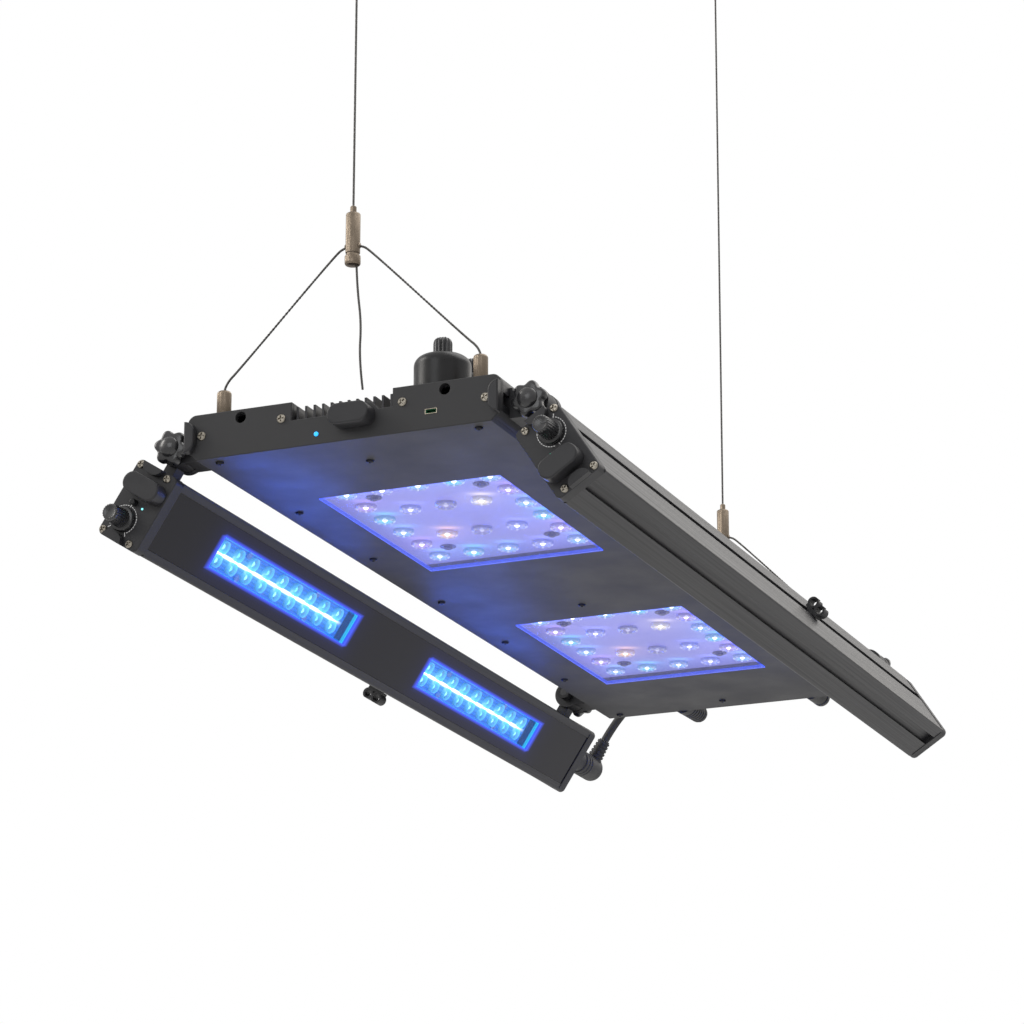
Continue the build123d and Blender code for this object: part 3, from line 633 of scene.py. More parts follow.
class LampColours(bpy.types.PropertyGroup):
    """Colours and brightness of the lamps."""

    board: colour_setting("Board", "Lit lamp board", (0.2, 0.2, 0.6))
    ice: colour_setting("Ice blue", "Cool blue diodes", (0.15, 0.42, 1.0))
    periwinkle: colour_setting("Periwinkle", "Royal blue diodes", (0.2, 0.24, 0.95))
    cyan: colour_setting("Cyan", "Cyan diodes", (0.05, 0.55, 0.9))
    violet: colour_setting("Violet", "Violet diodes", (0.34, 0.2, 0.72))
    dim: colour_setting("Dim violet", "Near ultraviolet diodes", (0.13, 0.1, 0.3))
    white: colour_setting("Warm white", "White diodes", (0.92, 0.8, 0.5))
    amber: colour_setting("Amber", "Amber diodes", (0.95, 0.55, 0.22))
    bar_edge: colour_setting("Bar edge", "Bar window near its edges", (0.012, 0.13, 0.72))
    bar_core: colour_setting("Bar core", "Bar window near its middle", (0.12, 0.6, 1.0))
    spill: FloatProperty(name="Spill", description="Power that each bar window throws",
                         default=0.3, unit="POWER", min=0.0)


class DetailSizes(bpy.types.PropertyGroup):
    """Sizes of the details that the frame doesn't hold."""

    cable_diameter: length_setting("Cable", "Suspension cable diameter", 1.6 * MM)
    strand_lay: length_setting("Strand lay", "Length of one twist of the strands", 9 * MM)
    lead_diameter: length_setting("Lead", "Power lead diameter", 6.6 * MM)
    board_grid: length_setting("Board grid", "Spacing of the painted light", 1.6 * MM)
    strands: IntProperty(name="Strands", description="Outer strands of a cable", default=6,
                         min=3)


class StageSettings(bpy.types.PropertyGroup):
    """Camera, lights and floor."""

    camera_at: FloatVectorProperty(name="Camera", description="Where the camera stands",
                                   default=(2.4857, 1.0257, -1.4285), size=3,
                                   subtype="XYZ", unit="LENGTH")
    aim: FloatVectorProperty(name="Aim", description="Where the camera looks",
                             default=(0.0, -0.0359, -0.5784), size=3, subtype="XYZ",
                             unit="LENGTH")
    roll: FloatProperty(name="Roll", description="Turn about the line of sight",
                        default=radians(0.136), subtype="ANGLE", unit="ROTATION")
    lens: FloatProperty(name="Lens", description="Focal length on a 36 mm sensor",
                        default=138.04, subtype="DISTANCE_CAMERA", unit="CAMERA")
    floor_height: FloatProperty(name="Floor", description="Floor's height", default=-2.3,
                                subtype="DISTANCE", unit="LENGTH")


# ---- operators: stage ----------------------------------------------------------------------
def soft_box(name, place, target, size, power, colour):
    """Rectangular lamp aimed at a point."""
    data = bpy.data.lights.new(name, "AREA")
    data.shape = "RECTANGLE"
    data.size, data.size_y = size
    data.energy = power
    data.color = colour
    lamp = bpy.data.objects.new(name, data)
    bpy.context.scene.collection.objects.link(lamp)
    lamp.location = place
    direction = Vector(target) - Vector(place)
    lamp.rotation_euler = direction.to_track_quat("-Z", "Y").to_euler()
    lamp.visible_camera = False
    return lamp


class LIGHT_OT_stage(bpy.types.Operator):
    """Camera, studio lamps, pale surroundings and floor"""

    bl_idname = "aquarium_light.stage"
    bl_label = "Stage"

    def execute(self, context):
        settings = context.scene.light_stage
        scene = context.scene
        scene.view_settings.view_transform = "Standard"
        data = bpy.data.cameras.new("camera")
        data.sensor_width, data.lens = 36.0, settings.lens
        data.clip_start, data.clip_end = 0.05, 60.0
        camera = bpy.data.objects.new("camera", data)
        scene.collection.objects.link(camera)
        camera.location = settings.camera_at
        sight = Vector(settings.aim) - Vector(settings.camera_at)
        camera.rotation_mode = "QUATERNION"
        facing = sight.to_track_quat("-Z", "Y")
        camera.rotation_quaternion = facing @ Quaternion((0, 0, 1), settings.roll)
        scene.camera = camera
        self.surroundings(scene)
        self.floor(scene, settings.floor_height)
        middle = (0.0, 0.0, -0.6)
        soft_box("key_box", (1.2, -2.6, 0.9), middle, (1.2, 1.6), 34.0, (1.0, 0.97, 0.92))
        soft_box("top_box", (-0.6, 1.2, 1.9), middle, (2.4, 2.4), 40.0, (1.0, 0.99, 0.98))
        soft_box("front_box", (3.4, -0.4, 0.3), middle, (1.4, 1.4), 11.0, (0.96, 0.98, 1.0))
        soft_box("back_box", (-2.6, 0.9, 0.8), middle, (1.6, 1.6), 7.0, (1.0, 0.95, 0.88))
        return {"FINISHED"}

    def surroundings(self, scene):
        """White to the camera; a soft grey sky, brighter above, to everything else."""
        world = bpy.data.worlds.new("surroundings")
        scene.world = world
        world.use_nodes = True
        nodes, links = world.node_tree.nodes, world.node_tree.links
        nodes.clear()
        place = nodes.new("ShaderNodeTexCoord")
        split = nodes.new("ShaderNodeSeparateXYZ")
        ramp = nodes.new("ShaderNodeValToRGB")
        ramp.color_ramp.elements[0].position = 0.0
        ramp.color_ramp.elements[0].color = (0.05, 0.05, 0.055, 1)
        ramp.color_ramp.elements[1].position = 0.8
        ramp.color_ramp.elements[1].color = (0.85, 0.84, 0.83, 1)
        spread = nodes.new("ShaderNodeMapRange")
        spread.inputs["From Min"].default_value = -1.0
        sky, white = nodes.new("ShaderNodeBackground"), nodes.new("ShaderNodeBackground")
        white.inputs["Color"].default_value = (1, 1, 1, 1)
        sight = nodes.new("ShaderNodeLightPath")
        mix = nodes.new("ShaderNodeMixShader")
        output = nodes.new("ShaderNodeOutputWorld")
        for source, target in (
                (place.outputs["Generated"], split.inputs[0]),
                (split.outputs["Z"], spread.inputs["Value"]),
                (spread.outputs["Result"], ramp.inputs["Fac"]),
                (ramp.outputs["Color"], sky.inputs["Color"]),
                (sight.outputs["Is Camera Ray"], mix.inputs[0]),
                (sky.outputs[0], mix.inputs[1]),
                (white.outputs[0], mix.inputs[2]),
                (mix.outputs[0], output.inputs["Surface"])):
            links.new(source, target)

    def floor(self, scene, height):
        """Wide pale floor with a faint mottle."""
        size = 14.0
        mesh = bpy.data.meshes.new("floor")
        corners = [(-size, -size, height), (size, -size, height), (size, size, height),
                   (-size, size, height)]
        mesh.from_pydata(corners, [], [(0, 1, 2, 3)])
        made = Recipe("pale_floor", (0.78, 0.78, 0.77), 0.7)
        cloud = made.noise(900.0, 3.0)
        made.mottled(cloud, (0.76, 0.76, 0.75), (0.8, 0.8, 0.79)).rough(cloud, 0.62, 0.75)
        mesh.materials.append(made.material)
        floor = bpy.data.objects.new("floor", mesh)
        scene.collection.objects.link(floor)


# ---- operators: cords ----------------------------------------------------------------------
class LIGHT_OT_cables(bpy.types.Operator):
    """Stranded suspension cables, slings and the loose tail"""

    bl_idname = "aquarium_light.cables"
    bl_label = "Cables"

    def execute(self, context):
        sizes = context.scene.light_sizes
        finish = cable_steel(context.scene.light_finishes.cable)
        for word, x in (("near", HANG_X), ("far", -HANG_X)):
            straight = [(x, 0, above(164.3)), (x, 0, above(618.0))]
            self.cable(f"{word}_cable", straight, 420, finish, sizes,
                       CABLE_LENGTH, "taut")
            half = [(6.0, 136.5), (13.0, 131.5), (80.0, 63.0), (89.6, 54.5), (90.6, 49.4)]
            left = [(x, -y * MM, above(z)) for y, z in reversed(half)]
            right = [(x, y * MM, above(z)) for y, z in half]
            self.cable(f"{word}_sling", left + right, 30, finish, sizes,
                       SLING_LENGTH, "taut")
        tail = [(346.0, 2.4, 123.2), (345.4, 2.8, 108.0), (343.0, 5.0, 84.0),
                (343.6, 4.0, 60.0), (340.0, 5.2, 40.0)]
        route = [(x * MM, y * MM, above(z)) for x, y, z in tail]
        self.cable("near_tail", route, 28, finish, sizes, TAIL_LENGTH,
                   "hanging", "bare")
        return {"FINISHED"}

    def cable(self, node, route, steps, finish, sizes, length, lay, far_end="object"):
        path = centreline(route, steps)
        shape = swept(path, sizes.cable_diameter, sizes.strands, sizes.strand_lay)
        piece = make_piece(f"stranded_{node}", Stock().add(shape), finish, "root",
                           "cable_steel", node)


class LIGHT_OT_lead(bpy.types.Operator):
    """Left bar's power lead with its angled plug"""

    bl_idname = "aquarium_light.lead"
    bl_label = "Power lead"

    def execute(self, context):
        sizes = context.scene.light_sizes
        finish = lead_rubber(context.scene.light_finishes.rubber)
        plug = self.plug(finish)
        tip = bar_end(-1, -409.0 * MM, 5.0, 27.0)
        along = Vector((0, sin(TILT), cos(TILT)))
        route = [tip.translation, tip.translation + along * 20 * MM]
        route += [Vector((x * MM, y * MM, above(z))) for x, y, z in (
            (-417.0, -101.0, 31.0), (-422.0, -81.0, 37.0), (-419.0, -64.0, 27.0),
            (-403.0, -57.0, 16.0), (-373.0, -57.0, 15.0))]
        path = centreline(route, 14)
        shape = swept(path, sizes.lead_diameter, sides=20)
        lead = make_piece("power_lead", Stock().add(shape), finish, None, "lead_rubber",
                          "left_lead")
        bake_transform(lead)
        return {"FINISHED"}

    def plug(self, finish):
        """Angled plug head, its grip rings and ribbed strain relief."""
        stock = Stock()
        head = bar_end(-1, BAR_FAR - 16 * MM, 5.0, 1.3) @ Matrix.Rotation(pi, 4, "Y")
        rings = [(9.4, 0.0), (10.0, 0.6), (10.0, 4.0), (9.3, 4.6), (9.3, 6.0), (10.0, 6.6),
                 (10.0, 9.0), (9.3, 9.6), (9.3, 11.0), (10.0, 11.6), (10.0, 32.0)]
        stock.add(turned(rings + dome(10.0, 32.0, 35.8)[1:], 40), head)
        middle = bar_end(-1, BAR_FAR - 43 * MM, 5.0, 8.0)
        relief = middle @ Matrix.Rotation(-pi / 2, 4, "X")
        profile = []
        for i in range(6):
            low, radius = 1.0 + 3.0 * i, 6.5 - 0.26 * i
            profile += [(radius, low), (radius, low + 1.7), (radius - 0.9, low + 1.9),
                        (radius - 0.9, low + 2.8)]
        stock.add(turned([(6.6, 0.0)] + profile + [(4.6, 18.9)], 28), relief)
        return make_piece("angled_plug", stock, finish, "left_bar", "lead_rubber",
                          "left_lead_plug")


# ---- operators: main fixture ---------------------------------------------------------------
class LIGHT_OT_housing(bpy.types.Operator):
    """Finishes of the housings, plates, caps and covers"""

    bl_idname = "aquarium_light.housing"
    bl_label = "Housing"

    def execute(self, context):
        colours = context.scene.light_finishes
        coat_nodes(anodised(colours.anodised), "main_extrusion", "left_bar_extrusion",
                   "right_bar_extrusion")
        coat_nodes(powder_coated(colours.powder), "near_end_plate", "far_end_plate",
                   "bottom_plate")
        coat_nodes(moulded(colours.plastic), "left_near_cap", "right_near_cap",
                   "left_far_cap", "right_far_cap", "bracket_bases", "left_bracket_arms",
                   "right_bracket_arms", "left_cable_clip", "right_cable_clip")
        soft = moulded(shade(colours.plastic, 0.85), "cover_moulding", 0.4)
        coat_nodes(soft, "antenna_cover", "slot_plugs", "left_port_covers",
                   "right_port_covers")
        satin = moulded(shade(colours.plastic, 0.4), "drum_moulding", 0.33)
        coat_nodes(satin, "dimmer_housings", "hinge_nuts", "left_button", "right_button")
        coat_nodes(circuit_green((0.02, 0.12, 0.05)), "circuit_boards")
        return {"FINISHED"}


class LIGHT_OT_screws(bpy.types.Operator):
    """Cross-head end screws and socket-head bottom screws"""

    bl_idname = "aquarium_light.screws"
    bl_label = "Screws"

    def execute(self, context):
        colours = context.scene.light_finishes
        zinc = brushed("zinc_plate", colours.zinc, 0.34, (1.0, 1.0, 6.0))
        self.plate_screws(zinc)
        for word, side in SIDES.items():
            self.cap_screws(word, side, zinc)
        self.bottom_screws(brushed("black_zinc", colours.black_zinc, 0.4, (1, 1, 4)))
        return {"FINISHED"}

    def cross_head(self, radius):
        """Pan head with a cross recess and the shank behind it."""
        profile = [(radius * 0.44, -9.0), (radius * 0.44, 0.0), (radius, 0.02),
                   (radius, 0.45), (radius * 0.93, 0.85), (radius * 0.76, 1.18)]
        return recessed_head(profile, cross_recess(radius * 0.7, radius * 0.19), 1.1, 2)

    def plate_screws(self, finish):
        stock = Stock()
        spots = [(99.5, 16.0), (-99.5, 16.0), (42.5, 20.3), (-42.5, 20.3)]
        for number, (y, height) in enumerate(spots):
            spin = Matrix.Rotation(0.5 + 0.9 * number, 4, "Z")
            stock.add(self.cross_head(3.0), plate_end(y, height) @ spin)
            stock.add(self.cross_head(3.0), far_end(y, height) @ spin)
        make_piece("end_plate_screws", stock, finish, "root", "black_screws",
                   "plate_screws")

    def cap_screws(self, word, side, finish):
        stock = Stock()
        turn_round = Matrix.Rotation(pi, 4, "Y")
        number = 0
        for n in SCREW_ROWS:
            for u in (-SCREW_REACH, SCREW_REACH):
                number += 1
                spin = Matrix.Rotation(0.35 + 0.8 * number, 4, "Z")
                stock.add(self.cross_head(2.7), bar_end(side, BAR_NEAR, n, u) @ spin)
                back = bar_end(side, BAR_FAR, n, u) @ turn_round
                stock.add(self.cross_head(2.7), back @ spin)
        make_piece(f"{word}_end_cap_screws", stock, finish, f"{word}_bar", "black_screws",
                   f"{word}_cap_screws")

    def bottom_screws(self, finish):
        head = recessed_head([(1.2, -6.5), (1.2, 0.0), (2.75, 0.02), (2.75, 0.45),
                              (2.5, 1.0), (2.1, 1.32), (1.65, 1.48)],
                             polygon(1.15, 6), 0.9, 4)
        spots = [((i - 3) * 116.7, side * 91.0) for i in range(7) for side in (-1, 1)]
        spots += [(316.5, 0.0), (-45.0, 0.0), (-340.0, 0.0)]
        stock = Stock()
        for x, y in spots:
            place = seat((x * MM, y * MM, UNDERSIDE), (1, 0, 0), (0, 0, -1))
            stock.add(head, place @ Matrix.Rotation(x * 0.7, 4, "Z"))
        make_piece("bottom_button_screws", stock, finish, "root", "black_screws",
                   "bottom_screws")


def fluted(count, depth):
    """Outline of a round part cut with fine flutes."""
    return lambda angle: 1.0 - depth * (0.5 - 0.5 * cos(count * angle)) ** 2


class LIGHT_OT_hangers(bpy.types.Operator):
    """Fluted rail anchors, cable grippers, release plungers and ceiling cups"""

    bl_idname = "aquarium_light.hangers"
    bl_label = "Hangers"

    def execute(self, context):
        nickel = brushed("brushed_nickel", context.scene.light_finishes.nickel, 0.3,
                         (1.0, 1.0, 30.0))
        anchors, grippers = Stock(), Stock()
        for x in (-HANG_X, HANG_X):
            for y in (-ANCHOR_Y, ANCHOR_Y):
                self.anchor(anchors, upright(x, y, 30.8))
            self.gripper(grippers, upright(x, 0.0, 0.0))
        make_piece("fluted_anchors", anchors, nickel, "root", "nickel", "rail_anchors")
        make_piece("cable_grippers", grippers, nickel, "root", "nickel",
                   "gripper_barrels")
        coat_nodes(nickel, "near_plunger", "far_plunger", "ceiling_fittings")
        return {"FINISHED"}

    def anchor(self, stock, place):
        plain = [(4.75, 0.0), (4.75, 1.4), (4.35, 1.8), (4.35, 2.6)]
        stock.add(turned(plain, 72), place)
        body = [(4.5, 2.6), (4.75, 3.0), (4.75, 16.4)]
        top = [(4.75 - 1.9 * (1 - cos(a)), 16.4 + 2.1 * sin(a))
               for a in (0.3, 0.6, 0.9, 1.2, 1.5)]
        stock.add(turned(body + top + [(1.4, 18.6)], 144, fluted(36, 0.025)), place)

    def gripper(self, stock, place):
        cap = [(3.6, 123.2), (4.6, 123.5), (5.1, 124.2), (5.2, 125.0), (5.2, 129.4),
               (4.9, 130.0), (4.2, 130.1), (4.2, 131.4)]
        stock.add(turned(cap, 144, fluted(36, 0.02)), place)
        barrel = [(4.5, 131.5), (4.8, 131.9), (4.8, 158.3), (4.5, 158.9), (3.9, 159.3),
                  (2.3, 159.4), (2.2, 158.0)]
        stock.add(turned(barrel, 144, fluted(36, 0.025)), place)
        for side in (-1, 1):
            eyelet = [(1.9, 0.0), (1.9, 0.5), (1.5, 0.8), (0.95, 0.8)]
            height = 136.5
            hole = place @ seat((0, side * 4.55 * MM, height * MM), (1, 0, 0),
                                (0, side, 0))
            stock.add(turned(eyelet, 24), hole)


class LIGHT_OT_dimmers(bpy.types.Operator):
    """Fluted knobs on the two dimmers"""

    bl_idname = "aquarium_light.dimmers"
    bl_label = "Dimmers"

    def execute(self, context):
        finish = knob_gloss(context.scene.light_finishes.knob)
        profile = [(6.25, 57.5), (6.25, 66.2), (6.05, 67.2), (5.7, 68.2), (5.2, 69.0),
                   (4.6, 69.6), (3.9, 69.8), (3.4, 69.6)]
        for word, x in (("front", 332.0), ("rear", 288.0)):
            stock = Stock()
            place = upright(x * MM, DIMMER_Y, 0.0)
            stock.add(turned(profile, 168, fluted(14, 0.15)), place)
            stock.add(turned([(3.0, 48.6), (3.0, 57.4)], 24), place)
            line = plate([1.2 * MM, 4.4 * MM], [-0.4 * MM, 0.4 * MM], 69.55 * MM,
                         69.85 * MM)
            stock.add(line, place @ Matrix.Rotation(0.8, 4, "Z"))
            make_piece(f"{word}_fluted_knob", stock, finish,
                       f"{word}_dimmer_knob_body", "knob_plastic",
                       f"{word}_dimmer_knob")
        return {"FINISHED"}


class LIGHT_OT_end_fittings(bpy.types.Operator):
    """Power inlets with ribbed boots, and the status light"""

    bl_idname = "aquarium_light.end_fittings"
    bl_label = "End fittings"

    def execute(self, context):
        rubber = lead_rubber(context.scene.light_finishes.rubber)
        stock = Stock()
        boot = [(8.2, 0.0), (8.2, 6.0)]
        for i in range(7):
            low, radius = 7.0 + 4.4 * i, 8.0 - 0.1 * i
            boot += [(radius, low), (radius, low + 2.4), (radius - 1.1, low + 2.7),
                     (radius - 1.1, low + 4.1)]
        stock.add(turned(boot + [(6.9, 37.9), (6.2, 39.4), (5.0, 40.0)], 40),
                  far_end(-41.0, 6.8))
        smooth = [(7.2, 0.0), (7.0, 19.0), (6.0, 19.4), (6.0, 21.2), (7.1, 21.6),
                  (7.1, 25.4), (6.6, 26.6), (5.2, 27.0)]
        stock.add(turned(smooth, 40), far_end(67.0, 6.4))
        nut = far_end(-57.0, 15.0)
        stock.add(turned([(6.6, 0.0), (7.0, 0.5), (7.0, 4.5), (6.6, 5.0)], 6), nut)
        collar = [(5.6, 5.0), (5.6, 10.2), (5.1, 11.8), (4.2, 12.8), (3.5, 13.0)]
        stock.add(turned(collar, 32, fluted(16, 0.05)), nut)
        make_piece("inlet_boots", stock, rubber, "root", "lead_rubber", "power_inlets")
        coat_nodes(indicator((0.02, 0.4, 1.0), "status_lens"), "status_light")
        outer, inner = (4.1 * MM, 1.65 * MM), (3.3 * MM, 0.95 * MM)
        rim = plate([-outer[0], -inner[0], inner[0], outer[0]],
                    [-outer[1], -inner[1], inner[1], outer[1]], -1.0 * MM, 0.3 * MM,
                    lambda x, y: abs(x) < inner[0] and abs(y) < inner[1])
        shell = brushed("port_shell_nickel", (0.6, 0.54, 0.42), 0.3, (1.0, 1.0, 4.0))
        make_piece("port_shell", Stock().add(rim, plate_end(62.4, 11.7)), shell, "root",
                   "nickel")
        return {"FINISHED"}


# ---- operators: hinges ---------------------------------------------------------------------
def star_outline(angle):
    """Six broad lobes with scallops between them, as a share of the full reach."""
    return 1.0 - 0.21 * (0.5 - 0.5 * cos(6 * angle)) ** 1.2


class LIGHT_OT_star_knobs(bpy.types.Operator):
    """Star knobs that lock the bars' tilt"""

    bl_idname = "aquarium_light.star_knobs"
    bl_label = "Star knobs"

    def execute(self, context):
        finish = knob_gloss(context.scene.light_finishes.knob)
        for word, side in SIDES.items():
            for end_word, end in (("near", 1), ("far", -1)):
                x = end * STAR_X
                place = seat((x, side * HINGE.y, HINGE.z), (0, end, 0), (end, 0, 0))
                stock = self.knob(place @ Matrix.Rotation(0.26 * side, 4, "Z"))
                node = f"{word}_{end_word}_knob"
                make_piece(f"{word}_{end_word}_star", stock, finish, f"{node}_body",
                           "knob_plastic", node)
        return {"FINISHED"}

    def knob(self, place):
        stock = Stock()
        stock.add(turned([(3.0, -31.0), (3.0, -0.2)], 24), place)
        stock.add(turned([(6.6, 0.0), (7.2, 0.4), (7.2, 2.0)], 48), place)
        lobes = [(10.6, 1.7), (11.4, 2.1), (11.9, 2.9), (12.0, 3.8), (12.0, 6.4),
                 (11.9, 6.9), (11.6, 7.7), (10.9, 8.3), (9.6, 8.6)]
        stock.add(turned(lobes, 120, star_outline), place)
        stock.add(turned([(6.9, 8.2)] + dome(6.8, 8.7, 12.3, 10), 48), place)
        return stock


# ---- operators: lit windows ----------------------------------------------------------------
LAMP_ROWS = {0: "ipici", 1: "v...v", 1.5: ".pdw.", 2: "c...i", 3: "i...c", 3.5: ".adp.",
             4: "v...v", 5: "icipi"}
RIB_ANGLE = radians(23.0)           # the clear sheet's ribs against the fixture's length


def lamp_spots(colours):
    """Place, colour and letter of every diode of one window, from its middle."""
    names = {"i": colours.ice, "p": colours.periwinkle, "c": colours.cyan,
             "v": colours.violet, "d": colours.dim, "w": colours.white,
             "a": colours.amber}
    return [((2.5 - row) * LED_ROW, (column - 2) * LED_COLUMN, tuple(names[letter]),
             letter)
            for row, letters in LAMP_ROWS.items() for column, letter in enumerate(letters)
            if letter != "."]


class LIGHT_OT_lamp_windows(bpy.types.Operator):
    """Lit lamp boards, diodes under clear petal lenses, and prismatic panes"""

    bl_idname = "aquarium_light.lamp_windows"
    bl_label = "Lamp windows"

    def execute(self, context):
        colours, sizes = context.scene.light_lamps, context.scene.light_sizes
        spots = lamp_spots(colours)
        lit = glow_finish("lit_board", 1.0, 0.45, LAMP_PITCH, RIB_ANGLE)
        boards, lenses, panes, screws = Stock(), Stock(), Stock(), Stock()
        for end in (-1, 1):
            middle = upright(end * WINDOW_X, 0.0, 0.0)
            self.board(boards, middle, spots, colours.board, sizes.board_grid)
            for spot in spots:
                self.lens(lenses, middle, *spot)
            self.pane(panes, middle)
            self.board_screws(screws, middle)
        make_piece("lit_lamp_boards", boards, lit, "root", "circuit_board", "led_boards")
        make_piece("petal_lenses", lenses, lens_finish(), "root", "clear_lens",
                   "lens_array")
        sheet = pane_finish((0.6, 0.62, 0.9), LAMP_PITCH, RIB_ANGLE)
        make_piece("prismatic_panes", panes, sheet, "root", "window_plastic",
                   "window_panes")
        finish = brushed("board_screw_zinc", (0.05, 0.05, 0.08), 0.3, (1, 1, 4))
        make_piece("slotted_board_screws", screws, finish, "root", "steel_screws",
                   "board_screws")
        for end in (-1, 1):
            spot = (end * WINDOW_X, 0.0, UNDERSIDE - 2 * MM)
            soft_box(f"window_spill_{end + 1}", spot, (spot[0], 0.0, spot[2] - 1.0),
                     WINDOW_SIZE, 0.12, (0.45, 0.45, 1.0))
        return {"FINISHED"}

    def board(self, stock, middle, spots, base, grid):
        """Board slab whose lit face is painted with every diode's light."""
        ribs = (cos(RIB_ANGLE), sin(RIB_ANGLE))
        shape = plate(steps_between(-96 * MM, 96 * MM, grid),
                      steps_between(-72 * MM, 72 * MM, grid), BOARD_FACE, 7.9 * MM)
        glows = []
        for x, y, z in shape[0]:
            light = [c * (0.9 + 0.1 * sin(x * 31.0) * cos(y * 43.0)) for c in base]
            for spot_x, spot_y, colour, letter in spots:
                dx, dy = x - spot_x, y - spot_y
                if abs(dx) > 0.045 or abs(dy) > 0.045:
                    continue
                along = (dx * ribs[0] + dy * ribs[1]) / MM
                beside = (dy * ribs[0] - dx * ribs[1]) / MM
                halo = 0.16 * exp(-(along ** 2 + beside ** 2) / 260.0)
                streak = 0.8 * exp(-((along - 10.5) / 3.6) ** 2 - (beside / 8.0) ** 2)
                share = (halo + streak) * (0.35 if letter == "d" else 1.0)
                light = [a + share * c for a, c in zip(light, colour)]
            glows.append(tuple(light))
        stock.add(shape, middle, glows)

    def lens(self, stock, middle, x, y, colour, letter):
        """Diode, its reflector cup and a ring of eight clear petals, all painted with the
        diode's light.
        """
        place = middle @ Matrix.Translation((x, y, 0.0)) @ Matrix.Rotation(pi, 4, "X")
        faint = letter == "d"
        white = tuple(0.55 * c + (0.35 if faint else 1.0) for c in colour)
        hot = shade(white, 1.2 if faint else 2.4)
        stock.add(turned(dome(2.1, -6.2, -3.5, 5), 20), place, hot)
        # Painted light: the cup glows bright inside, paler at its rim and dim on its outer wall.
        cup = shade(colour, 1.0 if not faint else 0.9)
        rim = tuple(0.35 * c + 0.08 for c in colour)
        ring = [(2.2, -6.1), (5.0, -4.9), (5.6, -3.5), (6.0, -3.5), (7.3, -4.8),
                (7.4, -6.3)]
        points, faces = turned(ring, 32)
        tones = [shade(cup, 1.2), shade(cup, 0.9), shade(rim, 0.5), rim, shade(cup, 0.3),
                 shade(cup, 0.2)]
        stock.add((points, faces), place, [tone for tone in tones for _ in range(32)])
        for petal in range(8):
            angle = pi / 8 + petal * pi / 4
            spot = place @ Matrix.Translation((6.1 * MM * cos(angle), 6.1 * MM * sin(angle),
                                               0.0))
            # Painted highlights: every other petal is painted brighter.
            gleam = (0.62 if petal % 2 else 0.38) * (0.7 if faint else 1.0)
            petal_glow = tuple(gleam * (0.65 + 0.5 * c) for c in colour)
            stock.add(turned(dome(1.15, -4.4, -3.15, 3), 10), spot, petal_glow)

    def pane(self, stock, middle):
        """Clear sheet set in the bottom plate, painted with a bright glow on its edges and a
        faint glow elsewhere.
        """
        half_x, half_y = WINDOW_SIZE[0] / 2, WINDOW_SIZE[1] / 2
        rim = 1.1 * MM
        xs = [-half_x, -half_x + rim] + steps_between(-half_x + rim, half_x - rim, 0.02)[1:]
        ys = [-half_y, -half_y + rim] + steps_between(-half_y + rim, half_y - rim, 0.02)[1:]
        shape = plate(xs + [half_x], ys + [half_y], -0.8 * MM, 1.9 * MM)
        glows = []
        # Painted light: bright blue on the edges, faint lavender on the rest.
        for x, y, z in shape[0]:
            edge = abs(x) > half_x - 0.1 * MM or abs(y) > half_y - 0.1 * MM
            glows.append((0.15, 0.5, 6.0) if edge else (0.2, 0.2, 0.5))
        stock.add(shape, middle, glows)

    def board_screws(self, stock, middle):
        """Dark washers with slotted screws."""
        for x in (-60.8, 60.8):
            for y in (-39.0, 39.0):
                place = middle @ Matrix.Translation((x * MM, y * MM, 0.0))
                place = place @ Matrix.Rotation(pi, 4, "X")
                washer = [(5.4, -6.3), (5.6, -5.9), (5.2, -5.6), (3.4, -5.6)]
                stock.add(turned(washer, 32), place)
                slot = [(1.9, 0.45), (-1.9, 0.45), (-1.9, -0.45), (1.9, -0.45)]
                head = recessed_head([(2.9, -5.6), (2.9, -4.6), (2.3, -4.1)], slot, 0.8, 6)
                stock.add(head, place)


